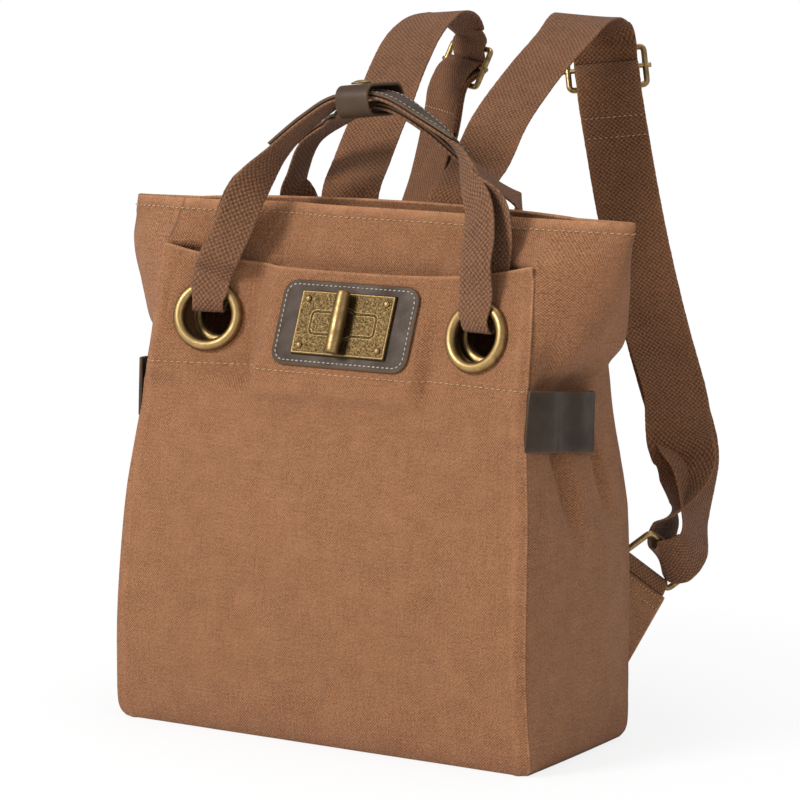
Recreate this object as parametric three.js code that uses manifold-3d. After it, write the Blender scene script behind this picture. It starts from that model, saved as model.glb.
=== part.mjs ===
// Canvas backpack with webbing straps, leather trims and a brass turn lock.
// Millimetres, +Z up, the bag's front faces -Y, the origin is the centre of its base on the floor.
import * as THREE from 'three';
import { mergeVertices } from 'three/addons/utils/BufferGeometryUtils.js';
import Module from 'manifold-3d';

const wasm = await Module();
wasm.setup();

// Main bag
const bagWidth = 305;
const bagDepth = 131;
const bagHeight = 335;
const mouthWidth = 367;
const canvasWall = 2;
const baseThickness = 2.4;
const clearance = 0.3;

// Front pocket, and the flat seats round the hardware on it
const pocketGap = 1;
const sewnGap = 0.9;
const pocketCorner = 0.922 * bagHeight;
const pocketDip = 12.5;
const seatFade = 12;
const seatMargin = 7;
const seatRise = 11;
const holeDepth = 6 * canvasWall;

// Hardware on the front
const grommetSpacing = 0.649 * bagWidth;
const grommetHeight = 0.789 * bagHeight;
const grommetOuter = 46;
const grommetInner = 31;
const grommetRoll = 5;
const bodyGrommetOuter = 40;
const bodyGrommetInner = 27;
const bodyGrommetRoll = 2.2;
const leftGrommetTurn = 18;
const rightGrommetTurn = 8;
const grommetLean = 14;
const bodyGrommetLean = 12;
const washer = 1;
const barrel = 1;
const lockOffset = 4.6;
const lockLean = 22;
const patchWidth = 99.5;
const patchHeight = 56;
const patchThickness = 2;
const patchCorner = 10;
const lockHeight = 0.789 * bagHeight;
const plateWidth = 68.4;
const plateHeight = 41.5;
const plateThickness = 2;
const grooveWidth = 0.8;
const grooveDepth = 0.6;
const slotWidth = 47;
const slotHeight = 14.5;
const slotCorner = 3;
const slotCircle = 20;
const rivetDiameter = 4.6;
const rivetHeight = 1.6;
const rivetInset = 5.6;
const barDiameter = 9.6;
const barLength = 41;
const barPinDiameter = 6;
const barLift = 1.5;

// Leather and webbing
const leather = 2.2;
const bandWidth = 38;
const bandHeight = 0.648 * bagHeight;
const bandDrop = 8;
const bandGap = 1.6;
const bandStart = 0.01;
const bandEnd = 0.66;
const handleWebWidth = 25.4;
const handleRise = 71;
const leftWebLean = 0.12;
const rightWebLean = -0.06;
const webbing = 1.8;
const gripWidth = 24.6;
const gripGap = 0.6;
const frontGripRows = [15, 20];
const backGripRows = [7, 13];
const sewnShares = [0.855, 0.89, 0.92];
const keeperWidth = 24;
const keeperHeight = 21;
const keeperDepth = 46;
const keeperTilt = 6;
const keeperShift = 9;
const keeperDrop = 2.1;
const snapDiameter = 12.6;
const snapHeight = 2.4;
const snapCap = 0.86 * snapDiameter;
const snapOverlap = 0.1;
const strapWidth = 43;
const strapRise = 120;
const strapReach = 137;
const wireDiameter = 4;
const ringArm = 24;
const ringSlack = 2.6;
const ringCorner = 3.5;
const ringHeight = 0.349 * bagHeight;
const ringSlope = 32.7;
const ringSwing = 48.5;
const tabPlace = 0.938;
const tabTurn = 73.3;
const sliderHeight = 27;
const sliderRise = 0.70;
const sliderTurn = 30.7;
const sliderLean = 0.3;
const barWire = 3.2;
const barEnd = 2;
const tabCanvas = 3;
const tabDrop = 6.7;
const tabShort = 1;
const tabFoot = 0.1135 * bagHeight;
const runLead = 8;
const runBehind = 3.5;

// How each shoulder strap hangs: its slider's place across, as a share of half the bag's width, and
// how far the run below it bows towards the middle
const leftStrap = { place: 0.345, bow: 31 };
const rightStrap = { place: 0.374, bow: 7 };

const halfWidth = bagWidth / 2;
const halfDepth = bagDepth / 2;
const up = new THREE.Vector3(0, 0, 1);

// Sections of the bag from the base to the rim. up is a share of bagHeight, seam and back are shares
// of half its width at the front and back seams, side is a share of half the mouth's width, and the
// four y columns are shares of half its depth. stand is how far the pocket panel stands off there,
// as a share of half the depth.
const sectionColumns = [
  'up', 'seam', 'side', 'back', 'frontEdge', 'frontMid', 'backEdge', 'backMid', 'stand',
];
const sections = [
  [0.000, 0.972, 0.812, 0.972, -0.940, -0.940, 0.940, 0.940, 0.00],
  [0.012, 0.990, 0.833, 0.990, -0.975, -0.990, 0.970, 0.975, 0.00],
  [0.032, 0.997, 0.845, 0.997, -1.005, -1.035, 0.990, 1.005, 0.00],
  [0.080, 0.993, 0.858, 0.997, -1.035, -1.085, 0.992, 1.020, 0.00],
  [0.200, 0.984, 0.868, 0.995, -1.064, -1.125, 0.992, 1.030, 0.00],
  [0.330, 0.975, 0.866, 0.990, -1.030, -1.095, 0.985, 1.025, 0.00],
  [0.450, 0.962, 0.852, 0.980, -0.972, -1.030, 0.965, 1.010, 0.00],
  [0.545, 0.940, 0.825, 0.955, -0.905, -0.925, 0.925, 0.970, 0.01],
  [0.600, 0.925, 0.800, 0.935, -0.865, -0.835, 0.890, 0.945, 0.03],
  [0.645, 0.917, 0.792, 0.925, -0.830, -0.750, 0.860, 0.920, 0.06],
  [0.700, 0.912, 0.800, 0.918, -0.790, -0.650, 0.820, 0.880, 0.10],
  [0.735, 0.906, 0.870, 0.918, -0.750, -0.535, 0.785, 0.840, 0.16],
  [0.770, 0.901, 0.938, 0.922, -0.715, -0.430, 0.735, 0.790, 0.21],
  [0.820, 0.893, 0.968, 0.928, -0.675, -0.350, 0.640, 0.700, 0.22],
  [0.870, 0.883, 0.981, 0.930, -0.632, -0.300, 0.530, 0.600, 0.18],
  [0.920, 0.876, 0.992, 0.928, -0.585, -0.285, 0.410, 0.485, 0.13],
  [0.960, 0.890, 0.997, 0.920, -0.360, -0.250, 0.270, 0.370, 0.13],
  [1.000, 0.915, 1.000, 0.915, -0.130, -0.215, 0.130, 0.260, 0.13],
].map((row) => Object.fromEntries(sectionColumns.map((name, i) => [name, row[i]])));

// Folds of the side gussets: across runs from 0 at the front seam to 1 at the back seam, the fold
// starts at one place and height and ends at another, and its depth is a share of half depth.
const gussetFolds = [
  { fromAcross: 0.30, fromUp: 0.58, toAcross: 0.42, toUp: 0.36, width: 0.07, depth: 0.10 },
  { fromAcross: 0.66, fromUp: 0.58, toAcross: 0.74, toUp: 0.40, width: 0.06, depth: 0.08 },
  { fromAcross: 0.16, fromUp: 0.70, toAcross: 0.10, toUp: 0.84, width: 0.08, depth: 0.09 },
];

// Pinch of the mouth: the front rim is drawn back to the back rim on one side.
const mouthPinch = { across: -0.46, wide: 0.20, tall: 0.12, push: 0.16 };

const rimSwell = { front: 0.004, back: 0.012 };

function smooth(t) {
  const c = Math.min(1, Math.max(0, t));
  return c * c * (3 - 2 * c);
}

function bell(t) {
  return Math.exp(-t * t);
}

// The section at a height share, in a straight line between its two neighbours in the table
function sectionAt(share) {
  let i = 0;
  while (i < sections.length - 2 && sections[i + 1].up < share) i += 1;
  const low = sections[i];
  const high = sections[i + 1];
  const t = (share - low.up) / (high.up - low.up);
  return Object.fromEntries(sectionColumns.map((name) => [name, low[name] + (high[name] - low[name]) * t]));
}

// y of the front wall's outer face at a share across it (-1 to 1) and a height share
function frontWallY(across, share) {
  const row = sectionAt(share);
  const flat = smooth((share - 0.5) / 0.25) * smooth((1 - share) / 0.05);
  const power = 2 + 3 * flat;
  const bow = Math.abs(across) ** power;
  const pinch = mouthPinch.push * bell((across - mouthPinch.across) / mouthPinch.wide)
    * bell((1 - share) / mouthPinch.tall);
  return halfDepth * (row.frontMid + (row.frontEdge - row.frontMid) * bow + pinch);
}

function backWallY(across, share) {
  const row = sectionAt(share);
  return halfDepth * (row.backMid + (row.backEdge - row.backMid) * across ** 2);
}

function seamX(share) {
  return halfWidth * sectionAt(share).seam;
}

function foldDepth(across, share) {
  let depth = 0;
  for (const fold of gussetFolds) {
    const along = (share - fold.fromUp) / (fold.toUp - fold.fromUp);
    if (along < -0.2 || along > 1) continue;
    const middle = fold.fromAcross + (fold.toAcross - fold.fromAcross) * along;
    const fade = smooth((along + 0.2) / 0.2) * smooth((1 - along) / 0.7);
    depth += fold.depth * halfDepth * fade * bell((across - middle) / fold.width);
  }
  return depth;
}

// Gusset point of the right side, across from 0 at the front seam to 1 at the back seam
function gussetPoint(across, share) {
  const row = sectionAt(share);
  const front = new THREE.Vector2(halfWidth * row.seam, frontWallY(1, share));
  const back = new THREE.Vector2(halfWidth * row.back, backWallY(1, share));
  const sideX = mouthWidth / 2 * row.side;
  const middleX = (front.x + back.x) / 2;
  const swell = (sideX - middleX) * Math.sin(Math.PI * across) ** 0.9;
  return new THREE.Vector2(
    front.x + (back.x - front.x) * across + swell - foldDepth(across, share),
    front.y + (back.y - front.y) * across,
  );
}

// Columns of the front as shares from its middle to a seam, with one at each side of a grommet's seat
const seatSeam = seamX(grommetHeight / bagHeight);
const seatInner = (grommetSpacing / 2 - grommetOuter / 2 - seatMargin) / seatSeam;
const seatOuter = (grommetSpacing / 2 + grommetOuter / 2 + seatMargin) / seatSeam;
const seatStep = (seatOuter - seatInner) / 4;
const halfColumns = [
  0.3 * seatInner, 0.6 * seatInner, 0.85 * seatInner,
  seatInner, seatInner + seatStep, seatInner + 2 * seatStep, seatInner + 3 * seatStep, seatOuter, 1,
];
const frontColumns = [...halfColumns.map((across) => -across).reverse(), 0, ...halfColumns];
const gussetSteps = 10;
const backSteps = 6;

// The bag's outline at one height share, counter-clockwise from the front left seam
function outlineAt(share) {
  const points = [];
  for (const across of frontColumns.slice(0, -1)) {
    const x = seamX(share) * across;
    points.push(new THREE.Vector2(x, bagFrontY(x, share * bagHeight)));
  }
  for (let i = 0; i < gussetSteps; i += 1) {
    points.push(gussetPoint(i / gussetSteps, share));
  }
  const backX = halfWidth * sectionAt(share).back;
  for (let i = 0; i < backSteps; i += 1) {
    const across = 1 - 2 * i / backSteps;
    points.push(new THREE.Vector2(backX * across, backWallY(across, share)));
  }
  for (let i = 0; i < gussetSteps; i += 1) {
    const point = gussetPoint(1 - i / gussetSteps, share);
    points.push(new THREE.Vector2(-point.x, point.y));
  }
  return points;
}

// An outline moved inwards by a wall
function inset(points, wall) {
  return points.map((point, i) => {
    const before = points[(i + points.length - 1) % points.length];
    const after = points[(i + 1) % points.length];
    const along = after.clone().sub(before).normalize();
    return new THREE.Vector2(point.x - along.y * wall, point.y + along.x * wall);
  });
}

// How far the rim rises at one point of the outline, in the middle of the front and of the back
function rimLift(index) {
  const backStart = frontColumns.length - 1 + gussetSteps;
  if (index < frontColumns.length) {
    return bagHeight * rimSwell.front * Math.cos(Math.PI / 2 * frontColumns[index]);
  }
  if (index < backStart || index >= backStart + backSteps) return 0;
  return bagHeight * rimSwell.back * Math.sin(Math.PI * (index - backStart) / backSteps);
}

function geometryFrom(vertices, faces) {
  const geometry = new THREE.BufferGeometry();
  geometry.setAttribute('position', new THREE.Float32BufferAttribute(vertices.flat(), 3));
  geometry.setIndex(faces.flat());
  return geometry;
}

// A closed skin through rings of equal length, each patch split along its shorter diagonal: the
// first and last ring are capped or, with closed set, joined to each other
function skin(rings, closed = false) {
  const size = rings[0].length;
  const vertices = rings.flat();
  const distance = (a, b) => Math.hypot(...vertices[a].map((value, axis) => value - vertices[b][axis]));
  const faces = [];
  const ringCount = closed ? rings.length : rings.length - 1;
  for (let r = 0; r < ringCount; r += 1) {
    const here = r * size;
    const next = ((r + 1) % rings.length) * size;
    for (let i = 0; i < size; i += 1) {
      const j = (i + 1) % size;
      if (distance(here + i, next + j) <= distance(here + j, next + i)) {
        faces.push([here + i, here + j, next + j], [here + i, next + j, next + i]);
      } else {
        faces.push([here + i, here + j, next + i], [here + j, next + j, next + i]);
      }
    }
  }
  if (!closed) {
    const ends = [[rings[0], 0, true], [rings.at(-1), (rings.length - 1) * size, false]];
    for (const [ring, start, flip] of ends) {
      const middle = [0, 1, 2].map((axis) => ring.reduce((sum, p) => sum + p[axis], 0) / size);
      vertices.push(middle);
      const centre = vertices.length - 1;
      for (let i = 0; i < size; i += 1) {
        const j = (i + 1) % size;
        faces.push(flip ? [start + j, start + i, centre] : [start + i, start + j, centre]);
      }
    }
  }
  return geometryFrom(vertices, faces);
}

function bagGeometry() {
  const shares = sections.map((row) => row.up);
  const outer = shares.map((share) => outlineAt(share).map((p, i) => [
    p.x, p.y, share * bagHeight + (share === 1 ? rimLift(i) : 0)]));
  const innerShares = [baseThickness / bagHeight, ...shares.filter((_, i) => i > 1 && i % 2 === 1)];
  const inner = innerShares.map((share) => inset(outlineAt(share), canvasWall).map((p, i) => [
    p.x, p.y, share * bagHeight + (share === 1 ? rimLift(i) : 0)]));
  return skin([...outer, ...inner.reverse()]);
}

function solidOf(geometry) {
  const bare = geometry.index ? geometry.clone() : mergeVertices(geometry.clone());
  bare.deleteAttribute('normal');
  bare.deleteAttribute('uv');
  const merged = mergeVertices(bare, 1e-4);
  return new wasm.Manifold(new wasm.Mesh({
    numProp: 3,
    vertProperties: Float32Array.from(merged.attributes.position.array),
    triVerts: Uint32Array.from(merged.index.array),
  }));
}

function geometryOf(solid) {
  const mesh = solid.getMesh();
  const geometry = new THREE.BufferGeometry();
  geometry.setAttribute('position', new THREE.Float32BufferAttribute(mesh.vertProperties, 3));
  geometry.setIndex(Array.from(mesh.triVerts));
  return geometry;
}

// A closed band along a route of rows { at, across, wide }: at is the middle of the band, across
// points from one edge to the other and wide is a share of the full width. A part of the route is
// taken with first and last, and lift moves it along the band's outer face.
function ribbon(rows, width, thickness, { steps = 3, first = 0, last = rows.length - 1, lift = 0 } = {}) {
  const middles = new THREE.CatmullRomCurve3(rows.map((row) => row.at), false, 'centripetal');
  const edges = new THREE.CatmullRomCurve3(rows.map((row) => row.across), false, 'catmullrom', 0.5);
  const corners = [[-1, -1], [1, -1], [1, 1], [-1, 1]];
  const rings = [];
  for (let i = first * steps; i <= last * steps; i += 1) {
    const row = Math.min(rows.length - 2, Math.floor(i / steps));
    const part = i / steps - row;
    const t = i / steps / (rows.length - 1);
    const wide = (rows[row].wide ?? 1) * (1 - part) + (rows[row + 1].wide ?? 1) * part;
    const middle = middles.getPoint(t);
    const along = middles.getTangent(t);
    const edge = edges.getPoint(t);
    edge.addScaledVector(along, -edge.dot(along)).normalize();
    const face = along.clone().cross(edge);
    rings.push(corners.map(([a, b]) => middle.clone()
      .addScaledVector(edge, a * wide * width / 2)
      .addScaledVector(face, lift + b * thickness / 2)
      .toArray()));
  }
  return skin(rings);
}

function vector(x, y, z) {
  return new THREE.Vector3(x, y, z);
}

// A frame with its z axis along an outward normal, x to the viewer's right and y upwards
function frameOn(position, normal) {
  const z = normal.clone().normalize();
  const x = up.clone().cross(z).normalize();
  const y = z.clone().cross(x);
  return new THREE.Matrix4().makeBasis(x, y, z).setPosition(position);
}

function inFrame(frame, x, y, z) {
  return vector(x, y, z).applyMatrix4(frame);
}

const degree = Math.PI / 180;

function mesh(name, geometry, finish, frame = null) {
  const flat = geometry.index ? geometry : mergeVertices(geometry);
  if (frame) flat.applyMatrix4(frame);
  flat.computeVertexNormals();
  const made = new THREE.Mesh(flat, finish);
  made.name = name;
  return made;
}

const canvasFinish = new THREE.MeshStandardMaterial({ color: 0x9a6a46, roughness: 0.95, metalness: 0 });
const webbingFinish = new THREE.MeshStandardMaterial({ color: 0x6f4c38, roughness: 0.9, metalness: 0 });
const leatherFinish = new THREE.MeshStandardMaterial({ color: 0x4c4038, roughness: 0.55, metalness: 0 });
const brassFinish = new THREE.MeshStandardMaterial({ color: 0x8a7440, roughness: 0.4, metalness: 1 });

// Seats where the cloth lies flat under a piece of hardware, turned about the upright by turn and
// leaning back by lean. Each spreads over wide and tall on both sides of its middle.
function seat(x, z, wide, tall, turn, lean) {
  return { x, z, wide: wide / 2 + seatMargin, tall: tall / 2 + seatRise, turn, lean };
}

const grommetSeats = [
  seat(-grommetSpacing / 2, grommetHeight, grommetOuter, grommetOuter, leftGrommetTurn, grommetLean),
  seat(grommetSpacing / 2, grommetHeight, grommetOuter, grommetOuter, -rightGrommetTurn, grommetLean),
];
const lockSeat = seat(lockOffset, lockHeight, patchWidth, patchHeight, 0, lockLean);
const bodySeats = grommetSeats.map(
  ({ x, z }) => seat(x, z, grommetOuter, grommetOuter, 0, bodyGrommetLean));

// y of the bag's front wall and of the pocket panel before their seats flatten them
function plainBagY(x, z) {
  return frontWallY(Math.min(1, Math.max(-1, x / seamX(z / bagHeight))), z / bagHeight);
}

function plainPocketY(x, z) {
  const share = z / bagHeight;
  const across = Math.min(1, Math.max(-1, x / seamX(share)));
  const stand = sectionAt(share).stand * halfDepth * (1 - across ** 4);
  return frontWallY(across, share) - pocketGap - canvasWall - stand;
}

function flattened(plain, seats, x, z) {
  let y = plain(x, z);
  for (const place of seats) {
    const outX = Math.max(0, Math.abs(x - place.x) - place.wide);
    const outZ = Math.max(0, Math.abs(z - place.z) - place.tall);
    const keep = 1 - smooth(Math.hypot(outX, outZ) / seatFade);
    const flat = plain(place.x, place.z) + (x - place.x) * Math.tan(place.turn * degree)
      + (z - place.z) * Math.tan(place.lean * degree);
    y += (flat - y) * keep;
  }
  return y;
}

function bagFrontY(x, z) {
  return flattened(plainBagY, bodySeats, x, z);
}

function pocketY(x, z) {
  return flattened(plainPocketY, [lockSeat, ...grommetSeats], x, z);
}

// The frame of a seat, its z axis pointing out of the bag
function seatFrame(plain, place) {
  const normal = vector(Math.tan(place.turn * degree), -1, Math.tan(place.lean * degree));
  return frameOn(vector(place.x, plain(place.x, place.z), place.z), normal);
}

function pocketTop(across) {
  return pocketCorner - pocketDip * (1 - Math.abs(across) ** 3);
}

function pocketGeometry() {
  const lowest = pocketCorner - pocketDip;
  const heights = sections.slice(2).map((row) => row.up * bagHeight).filter((z) => z < lowest - canvasWall);
  const rings = [];
  for (const across of frontColumns) {
    const front = [...heights, pocketTop(across)].map((z) => {
      const x = seamX(z / bagHeight) * across;
      return [x, pocketY(x, z), z];
    });
    const back = front.map(([x, y, z]) => [x, y + canvasWall, z]);
    rings.push([...back, ...front.reverse()]);
  }
  return skin(rings);
}

// A round bar through a seat, used to cut a hole
function holeCutter(frame, radius, depth) {
  const bar = new THREE.CylinderGeometry(radius, radius, depth, 20);
  bar.rotateX(Math.PI / 2);
  return solidOf(bar.applyMatrix4(frame));
}

function grommetGeometry(outer, inner, roll) {
  const middle = (outer + inner) / 4;
  const half = (outer - inner) / 4;
  const back = -canvasWall - clearance;
  const profile = [];
  const arcSteps = 3;
  for (let i = 0; i <= arcSteps; i += 1) {
    const angle = Math.PI * i / arcSteps;
    profile.push(new THREE.Vector2(middle + half * Math.cos(angle), clearance + roll * Math.sin(angle)));
  }
  profile.push(
    new THREE.Vector2(inner / 2, back - washer),
    new THREE.Vector2(middle, back - washer),
    new THREE.Vector2(middle, back),
    new THREE.Vector2(inner / 2 + barrel, back),
    new THREE.Vector2(inner / 2 + barrel, clearance),
    new THREE.Vector2(outer / 2, clearance),
  );
  const ring = new THREE.LatheGeometry(profile, 20);
  ring.rotateX(Math.PI / 2);
  return ring;
}

function roundedShape(width, height, corner) {
  const shape = new THREE.Shape();
  const x = width / 2;
  const y = height / 2;
  shape.moveTo(-x + corner, -y);
  shape.lineTo(x - corner, -y);
  shape.absarc(x - corner, -y + corner, corner, -Math.PI / 2, 0);
  shape.lineTo(x, y - corner);
  shape.absarc(x - corner, y - corner, corner, 0, Math.PI / 2);
  shape.lineTo(-x + corner, y);
  shape.absarc(-x + corner, y - corner, corner, Math.PI / 2, Math.PI);
  shape.lineTo(-x, -y + corner);
  shape.absarc(-x + corner, -y + corner, corner, Math.PI, 1.5 * Math.PI);
  return shape;
}

function slab(shape, bottom, top, curveSegments = 5) {
  const options = { depth: top - bottom, bevelEnabled: false, curveSegments };
  const geometry = new THREE.ExtrudeGeometry(shape, options);
  return geometry.translate(0, 0, bottom);
}

function disc(radius, bottom, top, sides = 24) {
  const geometry = new THREE.CylinderGeometry(radius, radius, top - bottom, sides);
  return geometry.rotateX(Math.PI / 2).translate(0, 0, (top + bottom) / 2);
}

// A low dome on the z axis
function dome(diameter, bottom, height, sides) {
  const profile = [new THREE.Vector2(0, 0), new THREE.Vector2(diameter / 2, 0)];
  const steps = 3;
  for (let i = 1; i <= steps; i += 1) {
    const angle = Math.PI / 2 * i / steps;
    const radius = i === steps ? 0 : diameter / 2 * Math.cos(angle);
    profile.push(new THREE.Vector2(radius, height * Math.sin(angle)));
  }
  return new THREE.LatheGeometry(profile, sides).rotateX(Math.PI / 2).translate(0, 0, bottom);
}

const patchBottom = clearance;
const patchTop = patchBottom + patchThickness;
const plateBottom = patchTop + clearance;
const plateTop = plateBottom + plateThickness;

function plateGeometry() {
  const plate = solidOf(slab(roundedShape(plateWidth, plateHeight, 1), plateBottom, plateTop, 2));
  const grow = 2 * grooveWidth;
  const cut = plateTop - grooveDepth;
  const outer = roundedShape(slotWidth, slotHeight, slotCorner);
  const inner = roundedShape(slotWidth - grow, slotHeight - grow, slotCorner - grooveWidth);
  const slotOuter = solidOf(slab(outer, cut, plateTop + 1, 2));
  const slotInner = solidOf(slab(inner, cut - 1, plateTop + 2, 2));
  const circleOuter = solidOf(disc(slotCircle / 2, cut, plateTop + 1));
  const circleInner = solidOf(disc(slotCircle / 2 - grooveWidth, cut - 1, plateTop + 2));
  const groove = slotOuter.add(circleOuter).subtract(slotInner.add(circleInner));
  const pinHole = solidOf(disc(barPinDiameter / 2 + clearance, plateBottom - 1, plateTop + 1));
  return geometryOf(plate.subtract(groove).subtract(pinHole));
}

function turnBarGeometry() {
  const centre = plateTop + barLift + barDiameter / 2;
  const bar = new THREE.CylinderGeometry(barDiameter / 2, barDiameter / 2, barLength, 18);
  bar.translate(0, 0, centre);
  const pin = disc(barPinDiameter / 2, plateBottom, centre, 16);
  return geometryOf(solidOf(bar).add(solidOf(pin)));
}

// Height above the rim as a share of handleRise, or below it as a share of the drop to the grommets
function handleZ(share) {
  return bagHeight + share * (share > 0 ? handleRise : bagHeight - grommetHeight);
}

// Routes of the handles. out is a share of half the grommet spacing, deep a share of half the bag's
// depth, rise as in handleZ, and turn is the direction across the webbing, in degrees from +X.
const frontArch = [
  { out: -0.888, deep: -0.718, rise: -0.450, turn: 22 },
  { out: -0.855, deep: -0.626, rise: -0.268, turn: 28 },
  { out: -0.766, deep: -0.489, rise: 0.140, turn: 44 },
  { out: -0.585, deep: -0.366, rise: 0.507, turn: 82 },
  { out: -0.370, deep: -0.260, rise: 0.797, turn: 90 },
  { out: -0.170, deep: -0.215, rise: 0.966, turn: 91 },
  { out: 0.146, deep: -0.215, rise: 1.000, turn: 94 },
  { out: 0.404, deep: -0.229, rise: 0.838, turn: 106 },
  { out: 0.677, deep: -0.275, rise: 0.592, turn: 125 },
  { out: 0.773, deep: -0.336, rise: 0.430, turn: 140 },
  { out: 0.848, deep: -0.397, rise: 0.260, turn: 150 },
  { out: 0.924, deep: -0.473, rise: 0.100, turn: 158 },
  { out: 0.969, deep: -0.580, rise: -0.140, turn: 164 },
  { out: 0.985, deep: -0.687, rise: -0.345, turn: 168 },
];
const rearLeft = [
  { out: -0.700, deep: -0.400, rise: 0.338, turn: 60 },
  { out: -0.815, deep: -0.400, rise: 0.155, turn: 42 },
  { out: -0.925, deep: -0.412, rise: -0.180, turn: 22 },
  { out: -0.965, deep: -0.440, rise: -0.440, turn: 14 },
];
const rearRight = [
  { out: 1.020, deep: -0.440, rise: -0.440, turn: 172 },
  { out: 1.030, deep: -0.400, rise: -0.140, turn: 165 },
  { out: 0.985, deep: -0.350, rise: 0.155, turn: 150 },
  { out: 0.820, deep: -0.342, rise: 0.350, turn: 142 },
];
const backArch = [
  { out: -0.810, deep: 0.530, rise: -0.200, turn: 6 },
  { out: -0.830, deep: 0.590, rise: -0.030, turn: 45 },
  { out: -0.840, deep: 0.500, rise: 0.100, turn: 80 },
  { out: -0.785, deep: 0.450, rise: 0.268, turn: 92 },
  { out: -0.646, deep: 0.350, rise: 0.544, turn: 92 },
  { out: -0.404, deep: 0.290, rise: 0.740, turn: 90 },
  { out: -0.240, deep: 0.090, rise: 0.815, turn: 90 },
  { out: -0.120, deep: -0.060, rise: 0.880, turn: 90 },
  { out: 0.150, deep: -0.090, rise: 0.905, turn: 92 },
  { out: 0.400, deep: -0.020, rise: 0.725, turn: 98 },
  { out: 0.600, deep: 0.140, rise: 0.450, turn: 104 },
  { out: 0.745, deep: 0.340, rise: 0.240, turn: 104 },
  { out: 0.850, deep: 0.520, rise: 0.080, turn: 104 },
  { out: 0.840, deep: 0.590, rise: -0.030, turn: 137 },
  { out: 0.810, deep: 0.530, rise: -0.200, turn: 174 },
];

function turned(angle) {
  return vector(Math.cos(angle * degree), Math.sin(angle * degree), 0);
}

function handleRow(row) {
  return {
    at: vector(row.out * grommetSpacing / 2, row.deep * halfDepth, handleZ(row.rise)),
    across: turned(row.turn),
  };
}

// The webbing's way through a grommet, from behind the pocket to its front: lean is how far it goes
// sideways for each millimetre up
function throughGrommet(place, side, lean) {
  const frame = seatFrame(plainPocketY, place);
  const across = vector(side, 0, 0).transformDirection(frame);
  const thick = webbing / 2;
  const front = clearance + grommetRoll + clearance + thick;
  const behind = -(canvasWall + 2 * clearance + washer + thick);
  const inner = grommetInner / 2;
  const narrow = 0.8;
  const places = [
    { up: 1.65 * inner, out: behind - 1, wide: 1 },
    { up: 1.10 * inner, out: behind - 1, wide: 1 },
    { up: 0.60 * inner, out: behind - 0.6, wide: narrow },
    { up: 0.25 * inner, out: behind / 2, wide: narrow },
    { up: 0.25 * inner, out: front / 3, wide: narrow },
    { up: 0.60 * inner, out: front - 0.4, wide: narrow },
    { up: 1.10 * inner, out: front + 0.6, wide: 1 },
    { up: 1.65 * inner, out: front + 0.2, wide: 1 },
  ];
  return places.map((step) => ({
    at: inFrame(frame, lean * (step.up - places[3].up), step.up, step.out),
    across: across.clone(),
    wide: step.wide,
  }));
}

// Webbing sewn flat to the outside of the back wall, from low to high
function sewnRows(x, width, side) {
  const inner = Math.abs(x) - width / 2;
  return sewnShares.map((share) => {
    const wall = backWallY(inner / (halfWidth * sectionAt(share).back), share);
    return { at: vector(x, wall + sewnGap + webbing / 2, share * bagHeight), across: vector(side, 0, 0) };
  });
}

function frontHandleRows() {
  return [
    ...rearLeft.map(handleRow),
    ...throughGrommet(grommetSeats[0], 1, leftWebLean),
    ...frontArch.map(handleRow),
    ...throughGrommet(grommetSeats[1], -1, rightWebLean).reverse(),
    ...rearRight.map(handleRow),
  ];
}

function backHandleRows() {
  const spread = backArch[0].out * grommetSpacing / 2;
  return [
    ...sewnRows(spread, handleWebWidth, 1),
    ...backArch.map(handleRow),
    ...sewnRows(-spread, handleWebWidth, -1).reverse(),
  ];
}

// A leather grip sewn over a handle, from the first to the last of the named rows
function gripGeometry(rows, [first, last]) {
  const lift = webbing / 2 + gripGap + leather / 2;
  return ribbon(rows, gripWidth, leather, { first, last, lift });
}

// The keeper's frame, tilted with the handles where it wraps them
function keeperFrame() {
  const centre = vector(0, -keeperShift, bagHeight + handleRise - keeperDrop);
  return new THREE.Matrix4().makeRotationY(-keeperTilt * degree).setPosition(centre);
}

function keeperGeometry() {
  const insideHeight = keeperHeight - 2 * leather;
  const shape = roundedShape(keeperDepth, keeperHeight, keeperHeight / 2.4);
  shape.holes.push(new THREE.Path(
    roundedShape(keeperDepth - 2 * leather, insideHeight, insideHeight / 2.6).getPoints(4).reverse()));
  const options = { depth: keeperWidth, bevelEnabled: false, curveSegments: 4 };
  const geometry = new THREE.ExtrudeGeometry(shape, options);
  geometry.translate(0, 0, -keeperWidth / 2);
  geometry.rotateX(Math.PI / 2);
  return geometry.rotateZ(Math.PI / 2);
}

// The leather band that cinches a gusset, bowed clear of the cloth under it
function bandRows(side) {
  const rows = [];
  const steps = 8;
  for (let i = 0; i <= steps; i += 1) {
    const across = bandStart + (bandEnd - bandStart) * i / steps;
    const z = bandHeight - bandDrop * i / steps;
    let reach = 0;
    for (const edge of [-1, -0.5, 0, 0.5, 1]) {
      reach = Math.max(reach, gussetPoint(across, (z + edge * bandWidth / 2) / bagHeight).x);
    }
    const point = gussetPoint(across, z / bagHeight);
    rows.push({
      at: vector(side * (reach + bandGap + leather / 2), point.y, z),
      across: vector(0, 0, 1),
    });
  }
  return rows;
}

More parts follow.
